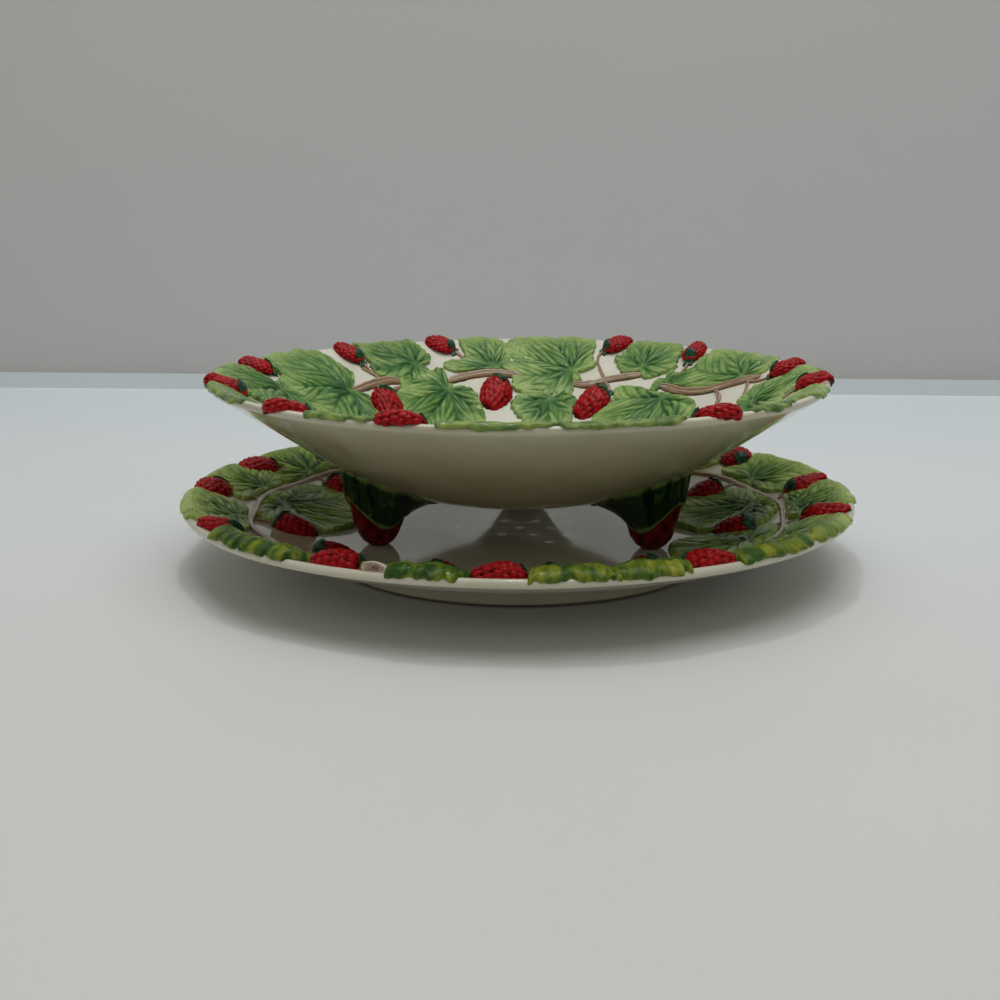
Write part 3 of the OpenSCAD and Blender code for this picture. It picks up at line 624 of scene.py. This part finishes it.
def relief_leaf(node, dish, material, seed):
    """A quilted leaf that lies on a dish and, on its rim, goes round the lip."""
    rng = np.random.default_rng(seed)
    origin, theta, size, heading = leaf_margin(node, dish, rng)
    turn = np.radians((theta - heading + 180) % 360 - 180)
    veins = np.array(MAIN_VEINS) + rng.uniform(-6, 6, len(MAIN_VEINS))
    pitch = dish.pitch * rng.uniform(0.9, 1.12)
    edge = origin + size[:, None] * polar(1.0, theta)
    on_rim = ease(length(edge), dish.rim_r - 4, dish.rim_r - 1)
    # Each side vein ends in a tooth, but on the rim the edge is ragged
    run, _ = vein_run(size, turn, veins, pitch)
    tooth = np.minimum(TOOTH, size * 0.09) * (np.abs(np.sin(np.pi * run)) ** 0.7 - 0.7)
    ragged = soft_noise(edge, 1.3, seed + 3) + 0.6 * soft_noise(edge, 0.7, seed + 4)
    out = size + 0.4 + tooth * (1 - on_rim) + 0.45 * ragged * (0.5 + on_rim)
    rows, around = int(np.clip(size.max() / LEAF_ROW, *LEAF_ROWS)), len(theta)
    share = np.repeat(1 - (1 - np.linspace(0, 1, rows + 1)[1:, None]) ** 1.4, around, 1)
    rho = share * out
    plan = origin + rho[..., None] * polar(1.0, theta)
    q = length(plan)
    ahead = plan / q[..., None]
    along, end_gap = rim_ends(plan, edge, on_rim)
    uneven = 0.8 + 0.4 * soft_noise(edge, 2.2, seed + 8)
    q = np.minimum(q, dish.edge_r + 2.2 + dish.lip_over * uneven)
    front = ease(-ahead[..., 1], 0.25, 0.7)
    crest = ease(q, dish.rim_r * 0.93, dish.edge_r)
    inner = 1 - crest
    # The side veins bend a little, and finer ribs run between them near the edge
    bend = turn + 0.18 * soft_noise(plan, 11, seed) * ease(rho, 2, 12)
    run, away = vein_run(rho, bend, veins, pitch)
    run = run + 0.25 * soft_noise(plan, 5, seed + 1)
    quilt = np.abs(np.sin(np.pi * run)) ** 0.8
    fine = np.abs(np.sin(2 * np.pi * run)) ** 0.8
    quilt = quilt + (fine - quilt) * 0.55 * ease(share, 0.55, 0.85)
    main = np.exp(-(away / 0.8) ** 2) * ease(rho, 1, 4) * (1 - 0.45 * share)
    depth = ease(rho, 1.5, 8) * (0.6 + 0.4 * soft_noise(plan, 6, seed + 2) ** 2)
    depth = depth * (1 - 0.75 * crest)
    curl = soft_noise(plan[-1], 5.5, seed + 5)
    height = dish.leaf_t * 0.8 + 0.5 * ease(away, 0, 4) + 0.6 * ease(rho, 0, 8) * (1 - share)
    height = height + (0.7 * curl + 0.2) * share ** 3 - 0.5 * share ** 2 * inner
    height = height + depth * 1.05 * (quilt - 0.6) - 0.55 * main * inner
    # The rim part swells in long uneven lumps and thins out at both ends and over the lip
    round_rim = np.stack([along, q * 1.6], -1)
    lumps = soft_noise(round_rim, 2.6, seed + 6) + 0.5 * soft_noise(round_rim, 1.2, seed + 7)
    roll = dish.roll * (0.25 + 0.75 * ease(end_gap, -2, 8)) * (0.35 + 0.65 * front)
    height = height + roll * ease(q / dish.rim_r, 0.88, 0.985)
    if dish is BOWL:
        height = height * (1 - 0.6 * ease(q, dish.edge_r - 5, dish.edge_r + 2))
        height = height + (0.2 + 0.4 * (1 - front)) * lumps * crest
    else:
        thin = (0.62 - 0.1 * front) * ease(q, dish.edge_r - 1.5, dish.edge_r + 1.8)
        height = (height + 0.45 * lumps * crest) * (1 - thin)
    left = (1 - share) * out
    height = np.maximum(height, 0.5) * np.sqrt(1 - (1 - np.clip(left / 1.4, 0, 1)) ** 2)
    height[-1] = -EDGE_SUNK
    r, z = dish.stand_off(q, height)
    top = raised(ahead * r[..., None], z)
    n = len(top)
    verts = np.concatenate([top] + leaf_back(dish, origin, plan[-1]))
    faces = [grid(rows, around), fan(len(verts) - 2, 0, around),
             grid(3, around, n - around), fan(len(verts) - 1, n + around, around, flip=True)]
    pad = len(verts) - n

    def padded(value, rest=0.0):
        return np.concatenate([value.reshape(-1), np.full(pad, rest)])

    strokes = np.stack([bend * 6 * inner + along / 7 * crest, rho / 15 * inner + (q + height) / 3.2 * crest,
                        np.full(rho.shape, seed * 3.7)], -1).reshape(-1, 3)
    rim = dish.paint * ease(q / dish.rim_r, 0.925, 0.975) * (0.12 + 0.88 * front)
    make(node, dish.body, material, verts, faces, {
        "groove": padded(np.maximum((1 - quilt) * depth, main * 0.8 * inner)),
        "reach": padded(share, 1.0), "rim": padded(rim),
        "shade": np.full(len(verts), rng.uniform(-0.06, 0.06)),
        "brush": np.concatenate([strokes, np.zeros((pad, 3))])})


# Berries and the leafy caps behind them. A sepal has its angle, its length and its width
SEPALS = ((12, 6.4, 4.4), (62, 6.6, 4.2), (-46, 6.6, 4.2), (112, 5.4, 3.8), (-100, 5.6, 3.8))


class Berry:
    """One berry on a dish. On its own, x runs from its stalk end to its tip."""

    def __init__(self, dish, middle, heading, on_rim):
        self.dish, self.middle, self.heading, self.on_rim = dish, middle, heading, on_rim
        self.wide, self.rise, self.scale = BERRY_W, BERRY_RISE, 1.0
        self.front = -middle[1] / length(middle)
        if on_rim:
            # It lies a little more along the rim than its solid does
            outward = math.radians(heading_of(middle))
            d = math.radians(heading) - outward
            self.heading = math.degrees(outward + math.atan2(math.sin(d), 0.7 * math.cos(d)))
            self.wide, self.rise = RIM_BERRY_W, RIM_BERRY_RISE
        if on_rim and dish is BOWL:
            self.scale = 1 - (1 - BACK_BERRY) * float(ease(middle[1], -60, 40))
        elif on_rim:
            # On the underplate the berries in front stand higher
            self.scale = PLATE_BERRY
            self.rise += (PLATE_BERRY_RISE - RIM_BERRY_RISE) * float(ease(self.front, 0.4, 0.8))

    def placed(self, p):
        """Points of the berry's own plan, on the dish."""
        a = math.radians(self.heading)
        turn = np.array([[math.cos(a), math.sin(a)], [-math.sin(a), math.cos(a)]])
        return self.middle + (p.reshape(-1, 2) * self.scale @ turn).reshape(p.shape)

    def half(self, x):
        """Half its width at places along it."""
        t = np.clip(x / (0.5 * BERRY_L), -1, 1)
        return np.sqrt(np.clip(1 - t * t, 0, 1)) * (1 - 0.24 * t) * 0.5 * self.wide

    def height(self, x, y):
        half = self.half(x)
        inside = np.clip(1 - (y / np.maximum(half, 0.1)) ** 2, 0, 1)
        high = self.rise * half / (0.5 * self.wide) * np.sqrt(inside)
        return high * (np.abs(x) < 0.5 * BERRY_L) * self.scale

    def floor(self, xy):
        """Height of the dish's surface under the berry, and of the plane that it lies on. On a
        rim that plane is flatter than the wall, and past the rim's edge the berry hangs free."""
        dish, r = self.dish, length(xy)
        low = dish.top_z(np.minimum(r, dish.edge_r))
        if not self.on_rim:
            return low, low
        mid_r = length(self.middle)
        tilt = float(dish.slope(min(mid_r, dish.edge_r))) * 0.45
        plane = float(dish.top_z(mid_r)) + math.tan(tilt) * (r - mid_r)
        past = np.clip(r - dish.edge_r - 0.5, 0, None)
        plane = np.maximum(plane, low) - 0.012 * past ** 2
        hanging = np.minimum(low, plane) - 0.8 - 0.5 * np.minimum(past, 3)
        return np.where(past > 0, hanging, low), plane

    def beads(self, rng):
        """Place along, angle and radius of its small beads, in staggered rows round it."""
        for k, s in enumerate(np.arange(-0.47, 0.49, BEAD / BERRY_L) * BERRY_L):
            ring = max(float(self.half(s)), 0.8)
            count = max(2, round(math.pi * ring / BEAD))
            for i in range(-1, count + 1):
                angle = ((i + 0.5 * (k % 2)) / count - 0.5) * math.pi
                yield s + rng.uniform(-0.3, 0.3), angle + rng.uniform(-0.05, 0.05), ring

    def add(self, batch, seed):
        rows, cols = 70, 64
        x = np.sin(np.linspace(-1, 1, rows) * np.pi / 2) * 0.5 * BERRY_L
        turn, along = np.meshgrid(np.radians(np.linspace(-150, 150, cols)), x)
        radius = self.half(along) * 0.95
        best = np.full(along.shape, 1e9)
        for s, angle, ring in self.beads(np.random.default_rng(seed)):
            d = ((along - s) / 1.1) ** 2 + (np.minimum(radius, ring + 1) * (turn - angle)) ** 2
            best = np.minimum(best, d)
        bead = np.sqrt(np.clip(1 - best / (BEAD * 0.6) ** 2, 0, 1))
        grown = radius + (bead - 0.75) * 1.6 * ease(radius, 0.3, 3)
        up = grown * np.cos(turn) / (0.5 * self.wide) * self.rise * self.scale
        tip = (bead - 0.8) * 0.9 * np.sign(along) * ease(np.abs(along), 8.5, 10.5)
        xy = self.placed(np.stack([along + tip, grown * np.sin(turn)], -1))
        low, plane = self.floor(xy)
        # Below its widest line the berry goes down into the dish
        down = np.clip(-np.cos(turn) / math.cos(math.radians(30)), 0, 1) * ease(radius, 0.2, 2.5)
        z = np.where(up > 0, plane + up, plane - (plane - low + 0.7) * down)
        faces = [grid(rows, cols, around=False), base(rows, cols),
                 fan_list(np.arange(cols)[::-1]), fan_list((rows - 1) * cols + np.arange(cols))]
        batch.add(raised(xy, z), faces, {"crevice": 1 - bead.reshape(-1)})

    def add_cap(self, batch, seed):
        """Pointed sepals hug the berry's stalk end. On a rim they are small."""
        rng = np.random.default_rng(seed)
        rows, cols = 14, 9
        t = np.linspace(0, 1, rows)
        w = np.linspace(-1, 1, cols)
        root = np.array([-0.5 * BERRY_L + (0.0 if self.on_rim else 0.6), 0.0])
        grow = 0.66 - 0.22 * float(ease(self.front, 0.5, 0.85)) if self.on_rim else 0.88
        ring = np.concatenate([np.arange(cols), np.arange(1, rows) * cols + cols - 1,
                               (rows - 1) * cols + np.arange(cols - 2, -1, -1),
                               np.arange(rows - 2, 0, -1) * cols])
        after, quads, n = np.roll(ring, -1), grid(rows, cols, around=False), rows * cols
        faces = [quads, quads[:, ::-1] + n, np.stack([ring, ring + n, after + n, after], -1)]
        crease = 0.3 * (1 - np.abs(w)) - 0.45 * np.exp(-(w / 0.2) ** 2)
        thick = (1.0 + crease) * (1 - 0.3 * t[:, None])
        values = {"groove": np.tile(np.exp(-(w / 0.3) ** 2), 2 * rows),
                  "margin": np.tile(0.25 * np.abs(w) ** 4, 2 * rows)}
        for angle, long, broad in SEPALS:
            a = angle + rng.uniform(-12, 12)
            long *= rng.uniform(0.85, 1.15) * grow
            half = grow * broad / 2 * np.sin(np.pi * np.clip(t, 0.03, 1) ** 0.7) ** 0.8
            half = half + 0.3 * (1 - t)
            bow = rng.uniform(-0.9, 0.9) * t ** 2
            p = (root + polar(1.0, a) * (t * long)[:, None, None]
                 + polar(1.0, a + 90) * (w * half[:, None] + bow[:, None])[..., None])
            body = self.height(p[..., 0], p[..., 1])
            xy = self.placed(p)
            low, plane = self.floor(xy)
            surface = np.maximum(low, np.where(body > 0, plane + body, low))
            surface = surface + 0.4 * np.sin(t * np.pi * 0.9)[:, None]
            sides = raised(xy, surface + thick), raised(xy, surface - 0.6)
            batch.add(np.concatenate(sides), faces, values)

    def add_stem(self, batch, vines, seed):
        """A thin stem from the berry's cap to the nearest vine, where there is one close by."""
        root = self.middle - polar(0.5 * BERRY_L - 0.5, self.heading)
        gaps = length(vines - root)
        if gaps.min() > STEM_REACH:
            return
        target = vines[np.argmin(gaps)]
        back = root - polar(min(6.0, gaps.min() / 2), self.heading)
        t = np.linspace(0, 1, 22)[:, None]
        path = (1 - t) ** 2 * root + 2 * t * (1 - t) * back + t * t * target
        add_vine(batch, self.dish, path, STEM_W, STEM_H, seed)


def berry_row(row, dish, on_rim, seed, caps, stems, vines):
    """Dresses a node of berries. Each heads away from the nearest leafy cap of its dish."""
    stalks = [p[:, :2].mean(0) for p, _ in components(dish.body + "_berry_caps")]
    batch = Batch()
    for i, (points, fans) in enumerate(components(row)):
        middle = hub(points, fans)
        stalk = min(stalks, key=lambda s: length(s - middle))
        berry = Berry(dish, middle, heading_of(middle - stalk), on_rim)
        berry.add(batch, seed + i)
        berry.add_cap(caps, seed + 500 + i)
        berry.add_stem(stems, vines, seed + i)
    batch.build(row, dish.body, BERRY)


# Routes of vines and stalks, as azimuth and share of the rim's radius. They are the CAD's, but
# the last stalk is led on to its vine.
BOWL_VINES = (
    ((143, 0.762), (137, 0.772), (131, 0.782), (128, 0.777)),
    ((112, 0.762), (106, 0.782), (100, 0.792), (94, 0.782)),
    ((75, 0.742), (71, 0.742), (66, 0.775), (60, 0.80)),
    ((48, 0.765), (40, 0.757), (33, 0.78), (28, 0.825), (24, 0.865)),
    ((350, 0.762), (336, 0.768), (322, 0.764), (308, 0.768), (294, 0.762), (280, 0.766),
     (266, 0.762), (252, 0.768), (238, 0.764), (224, 0.768), (210, 0.762), (200, 0.77),
     (191, 0.785), (184, 0.785)))
BOWL_STALKS = (((133, 0.815), (134, 0.835)), ((129, 0.745), (132, 0.735)),
               ((31, 0.795), (26, 0.765), (23, 0.73)))


def route(points, rim_r, steps=16):
    p = np.array([polar(share * rim_r, azimuth) for azimuth, share in points])
    p = np.concatenate([p[:1], p, p[-1:]])
    return np.array([spline(*p[i - 1:i + 3], t) for i in range(1, len(p) - 2)
                     for t in np.arange(steps) / steps] + [p[-1]])


def run_on(path, reach):
    """A route with both ends led on, so that they dive under what is next to them."""
    head = path[0] + (path[0] - path[2]) / length(path[0] - path[2]) * reach
    tail = path[-1] + (path[-1] - path[-3]) / length(path[-1] - path[-3]) * reach
    t = np.linspace(0, 1, 6)[:, None]
    return np.concatenate([head + t[:-1] * (path[0] - head), path,
                           path[-1] + t[1:] * (tail - path[-1])])


def plate_vine_path():
    a = np.arange(540) * 360 / 540
    share = PLATE_VINE + PLATE_VINE_WAVE * np.sin(np.radians(PLATE_VINE_WAVES * a))
    return polar(1.0, a) * (PLATE.rim_r * share)[:, None]


def add_vine(batch, dish, path, width, height, seed, thin=1, closed=False, pale=0.0):
    """A ribbed round vine that lies on a dish. Towards its ends it thins to the share thin."""
    n, cols = len(path), 18
    ahead = np.roll(path, -1, 0) - np.roll(path, 1, 0)
    if not closed:
        ahead[0], ahead[-1] = path[1] - path[0], path[-1] - path[-2]
    ahead /= length(ahead)[:, None]
    side = np.stack([ahead[:, 1], -ahead[:, 0]], -1)
    run = np.concatenate([[0], np.cumsum(length(np.diff(path, axis=0)))])
    knot = np.exp(-((run % KNOT_PITCH - 13) / KNOT_W) ** 2)
    knots = 1 + 0.09 * soft_noise(path, 5, seed) + 0.2 * knot
    to_end = np.minimum(run, run[-1] - run)
    knots = knots * (thin + (1 - thin) * ease(to_end, 0, THIN_L))
    angle = np.linspace(0, np.pi, cols)
    on_vine = np.stack([np.repeat(run / 4, cols), np.tile(angle * 3, n)], -1)
    streak = soft_noise(on_vine, 1.0, seed + 1).reshape(n, cols)
    ridge = np.cos(angle * 5 + 0.5)
    rib = 1 + 0.05 * ridge + 0.05 * streak
    across = -np.cos(angle) * 0.5 * width * rib * knots[:, None]
    up = np.sin(angle) ** 0.8 * height * rib * np.minimum(knots, 1.08)[:, None]
    xy = path[:, None] + side[:, None] * across[..., None]
    floor = dish.top_z(np.minimum(length(xy), dish.edge_r))
    z = floor + up
    z[:, [0, -1]] = floor[:, [0, -1]] - EDGE_SUNK
    last = (n - 1) * cols
    faces = [grid(n, cols, around=False)[:, ::-1], base(n, cols)[:, ::-1]]
    if closed:
        k = np.arange(cols - 1)
        faces.append(np.stack([last + k, k, k + 1, last + k + 1], -1)[:, ::-1])
        faces.append(np.array([[last, last + cols - 1, cols - 1, 0]])[:, ::-1])
    else:
        faces += [fan_list(np.arange(cols)), fan_list(last + np.arange(cols)[::-1])]
    groove = np.clip(-ridge, 0, 1) - pale
    brush = np.stack([np.repeat(run / 9, cols), np.tile(angle * 2.2, n),
                      np.full(n * cols, seed * 1.0)], -1)
    batch.add(raised(xy, z), faces, {"groove": np.tile(groove, n), "brush": brush})


def cut_stub(batch):
    """The sawn end of a branch, lying across the underplate's rim and facing outward, with a
    raised edge. A station has its radius, its share of the width, and how pale it is."""
    cols = 40
    stations = ((133.0, 0.5, -0.1), (138.0, 0.8, -0.1), (143.0, 0.93, -0.1), (147.5, 1.0, 0.7),
                (150.6, 1.02, 0.7), (151.2, 0.96, 0.7), (151.4, 0.86, 0.7), (151.1, 0.78, 0.7),
                (150.2, 0.7, 0.7), (149.8, 0.5, 0.3), (149.7, 0.2, 0.3))
    a = np.arange(cols) * 2 * np.pi / cols
    bark = 1 + 0.05 * np.cos(3 * a + 1) + 0.03 * np.cos(5 * a)
    side = polar(1.0, STUB_TURN + 90)
    rows = []
    for r, share, _ in stations:
        floor = float(PLATE.top_z(min(r, PLATE.edge_r)))
        across = 0.5 * STUB_W * share * bark * np.cos(a)
        up = floor + 0.38 * STUB_H + 0.5 * STUB_H * share * bark * np.sin(a)
        rows.append(raised(polar(r, STUB_TURN) + side * across[:, None], up))
    n = len(rows)
    verts = np.concatenate(rows + [[rows[0].mean(0)], [rows[-1].mean(0)]])
    r, _, pale = np.repeat(np.array(stations), cols, 0).T
    brush = np.stack([r / 9, np.tile(np.cos(a), n), np.full(n * cols, 3.0)], -1)
    batch.add(verts, [grid(n, cols)] + end_fans(n, cols),
              {"groove": -np.concatenate([pale, [pale[0], pale[-1]]]),
               "brush": np.concatenate([brush, brush[:1], brush[-1:]])})


# Feet
def foot_r(share):
    return np.interp(share, *zip(*FOOT_PROFILE)) * FOOT_TOP_R


def bowl_under_z(r):
    """Height of the bowl's underside at a radius."""
    stations = np.linspace(BOWL.flat_r, BOWL.edge_r, 60)[1:]
    points = [[BOWL.flat_r, BOWL.flat_z - BOWL.wall]]
    points += [BOWL.under_point(s, BOWL.wall_t(s)) for s in stations]
    return np.interp(r, *zip(*points))


def foot_berry(k):
    """A smooth moulded berry, faintly beaded, whose top is sunk into the bowl."""
    centre = polar(FOOT_CIRCLE_R, FIRST_FOOT + k * FOOT_TURN)
    low = PLATE.flat_z
    rows, cols = 60, 96
    share = np.linspace(0, 1.12, rows) ** 1.25
    azimuth = np.arange(cols) * 360 / cols
    bead = np.cos(np.radians(azimuth * 9)) * np.cos(share * 15)[:, None]
    bulge = 0.22 * bead * ease(share, 0.05, 0.25)[:, None]
    rr = foot_r(np.minimum(share, 1))[:, None] + bulge
    xy = centre + rr[..., None] * polar(1.0, azimuth)
    z = (low + share * FOOT_H)[:, None]
    inside = BOWL.top_z(length(xy)) - 1.5
    verts = np.concatenate([raised(xy, np.minimum(z, inside)),
                            [[*centre, low], [*centre, inside.min()]]])
    faces = [grid(rows, cols)[:, ::-1]] + end_fans(rows, cols)
    crevice = np.concatenate([(0.4 - 0.4 * bead).reshape(-1), [0, 0]])
    make("foot_berry_" + FEET[k], "bowl", FOOT_BERRY, verts, faces, {"crevice": crevice})


def foot_leaf(k):
    """A leaf round a berry foot, high on the outside and low at the flanks. It opens like a cone
    towards the bowl, most of all on the side of the bowl's middle."""
    centre = polar(FOOT_CIRCLE_R, FIRST_FOOT + k * FOOT_TURN)
    outward = math.radians(FIRST_FOOT + k * FOOT_TURN)
    around, rows = 160, 44
    th = np.arange(around) * 2 * np.pi / around
    ragged = soft_noise(np.stack([np.cos(th), np.sin(th)], -1) * 10, 1.6, 70 + k)
    dip = np.maximum(np.sin(th) ** 2, 0.75 * (1 - np.cos(th)) / 2)
    low = CAP_HIGH - (CAP_HIGH - CAP_LOW) * dip + 0.018 * ragged
    inward = 0.08 + 0.92 * np.minimum(1, 1 - np.cos(th)) ** 1.8
    lobes = 1 - 0.12 * (1 - np.cos(3 * th)) + 0.04 * ragged
    rim = FOOT_TOP_R + CAP_T + CAP_SPREAD * lobes * inward
    t = np.linspace(0, 1, rows)[:, None]
    proud = 0.2 + 1.1 * np.sqrt(1 - (1 - np.clip(t / 0.06, 0, 1)) ** 2)
    foot = foot_r(low) + proud
    radius = foot + (rim - foot) * t ** 1.25
    ahead = np.stack([np.cos(th + outward), np.sin(th + outward)], -1)
    under = bowl_under_z(length(centre + radius[..., None] * ahead))
    start = PLATE.flat_z + low * FOOT_H
    z = start + (under - start) * t ** 0.92
    z = np.minimum(z, under - 1.0 + 1.4 * ease(t, 0.95, 1.0))
    share = low + (1 - low) * t ** 0.92
    radius = np.maximum(radius, foot_r(np.clip(share, 0, 1)) + proud)
    # Veins run from the leaf's edge up to the bowl
    line = np.cos(13 * th + 1.5 * np.sin(2 * th) + 0.8 * t)
    fine = np.cos(31 * th + 4 * t)
    radius = radius + (0.30 * line + 0.14 * fine) * ease(t, 0.02, 0.12)
    verts = [raised(centre + radius[..., None] * ahead, z)]
    # Inside, three rings lead back down through the foot
    inner = ((rim - 1.5, under[-1] + 1.5), (foot_r(0.98) - 1.5, under[0] + 1.0),
             (foot_r(low) - 1.0, start + 0.6))
    for r_in, z_in in inner:
        p = centre + (np.zeros(around) + r_in)[:, None] * ahead
        verts.append(raised(p, np.minimum(z_in, bowl_under_z(length(p)) + 2)))
    rows += len(inner)
    i, last = np.arange(around), (rows - 1) * around
    j = (i + 1) % around
    closing = np.stack([last + i, i, j, last + j], -1)
    margin = 0.75 * (1 - ease(t, 0.04, 0.14)) + 0.45 * ease(t, 0.88, 0.98) + 0 * th
    rest = np.zeros(len(inner) * around)
    make("foot_leaf_" + FEET[k], "bowl", FOOT_LEAF, np.concatenate(verts),
         [grid(rows, around)[:, ::-1], closing[:, ::-1]],
         {"groove": np.concatenate([(np.clip(-line, 0, 1) ** 1.3).reshape(-1), rest]),
          "margin": np.concatenate([margin.reshape(-1), rest])})


# Pieces
plate_shell, bowl_shell = dish_shell(PLATE, 11), dish_shell(BOWL, 12)
drill(bowl_shell)
for shell in (plate_shell, bowl_shell):
    shell.data.set_sharp_from_angle(angle=math.radians(SHARP))
for dish, material, count, seed in ((BOWL, BOWL_LEAF, 23, 100), (PLATE, PLATE_LEAF, 20, 200)):
    for i in range(count):
        relief_leaf("%s_leaf_%02d" % (dish.body, i + 1), dish, material, seed + i)
bowl_paths = np.concatenate([route(points, BOWL.rim_r) for points in BOWL_VINES])
caps, stems = {}, {}
for dish, inner, seed, paths in ((BOWL, "_hanging_berries", 300, bowl_paths),
                                 (PLATE, "_inner_berries", 340, plate_vine_path())):
    caps[dish], stems[dish] = Batch(), Batch()
    berry_row(dish.body + "_rim_berries", dish, True, seed, caps[dish], stems[dish], paths)
    berry_row(dish.body + inner, dish, False, seed + 20, caps[dish], stems[dish], paths)
for dish in (BOWL, PLATE):
    caps[dish].build(dish.body + "_berry_caps", dish.body, BERRY_CAP)
for i, points in enumerate(BOWL_VINES):
    path = run_on(route(points, BOWL.rim_r), VINE_LEAD)
    add_vine(stems[BOWL], BOWL, path, VINE_W, VINE_H, 40 + i, thin=0.55)
for i, points in enumerate(BOWL_STALKS):
    path = run_on(route(points, BOWL.rim_r, 8), STALK_LEAD)
    add_vine(stems[BOWL], BOWL, path, STALK_W, STALK_W * VINE_H / VINE_W, 50 + i, thin=0.7)
add_vine(stems[PLATE], PLATE, plate_vine_path(), 0.8 * VINE_W, 0.8 * VINE_H, 60, closed=True, pale=0.5)
cut_stub(stems[PLATE])
for dish in (BOWL, PLATE):
    stems[dish].build(dish.body + "_vine", dish.body, VINE)
for k in range(3):
    foot_berry(k)
    foot_leaf(k)


# Stage, in metres: a pale table top, its back edge and a grey wall
def plain(name, near, far, rough):
    """A plain matt surface whose colour changes slowly from the camera's side to the far side."""
    n = Nodes(name)
    y = n.new("SeparateXYZ", {0: n.place()}, "Y")
    colour = n.mix(n.step(y, -0.5, 0.5), near, far)
    colour = n.mix(n.scaled(n.noise(1.6, 3), 0.12), colour, (120, 122, 122))
    n.finish(colour, rough, coat=0.0, specular=0.3)
    # Seen from its back each surface is clear, so that the part shows from behind too
    facing = n.new("MixShader", {
        0: n.new("NewGeometry", output="Backfacing"), 1: n.shader.outputs["BSDF"],
        2: n.new("BsdfTransparent", output="BSDF")})
    n.put(n.tree.nodes["Material Output"].inputs["Surface"], facing)
    return n.material


def slab(name, near, far, near_colour, far_colour, rough):
    """A flat stage surface from one side to the other, between two places as depth and height."""
    mesh = bpy.data.meshes.new(name)
    mesh.from_pydata([(-SIDE, *near), (SIDE, *near), (SIDE, *far), (-SIDE, *far)], [], [(0, 1, 2, 3)])
    mesh.materials.append(plain(name, near_colour, far_colour, rough))
    obj = link(name, mesh)


SIDE, NEAR, BACK, EDGE_H, WALL_GAP, WALL_H = 3.0, -1.6, 0.504, 0.013, 0.02, 2.2
slab("table_top", (NEAR, 0), (BACK, 0), (222, 222, 220), (230, 240, 245), 0.45)
slab("back_edge", (BACK, 0), (BACK, EDGE_H), (226, 234, 237), (226, 234, 237), 0.5)
slab("wall", (BACK + WALL_GAP, 0), (BACK + WALL_GAP, WALL_H), (207, 207, 207), (207, 207, 207), 0.8)


def area_light(name, at, aim, size, power, colour):
    lamp = bpy.data.lights.new(name, "AREA")
    lamp.shape, lamp.size, lamp.size_y = "RECTANGLE", *size
    lamp.energy, lamp.color = power, colour
    obj = link(name, lamp)
    obj.location = at
    obj.rotation_euler = (Vector(aim) - Vector(at)).to_track_quat("-Z", "Y").to_euler()


area_light("overhead", (0.12, 0.02, 1.5), (0, -0.05, 0), (1.8, 1.3), 15.1, (1, 1, 0.99))
area_light("fill", (-1.1, -1.0, 0.5), (0, 0, 0.05), (1.0, 0.7), 0.9, (1, 0.93, 0.8))
area_light("spot", (-0.06, 0.15, 1.5), (0, 0, 0), (0.12, 0.12), 2.0, (1, 0.98, 0.95))
scene = bpy.context.scene
scene.world = bpy.data.worlds.new("studio")
scene.world.use_nodes = True
background = scene.world.node_tree.nodes["Background"]
background.inputs["Color"].default_value = (1.0, 0.95, 0.87, 1)
background.inputs["Strength"].default_value = 0.24

# The photograph's camera
camera = bpy.data.cameras.new("camera")
camera.lens, camera.sensor_width = 50.4, 36.0
eye = link("camera", camera)
eye.location = (0.0284, -0.6373, 0.1729)
eye.rotation_euler = (math.radians(76.98), 0, math.radians(3.3))
bpy.context.scene.camera = eye
bpy.context.scene.view_settings.view_transform = "Standard"
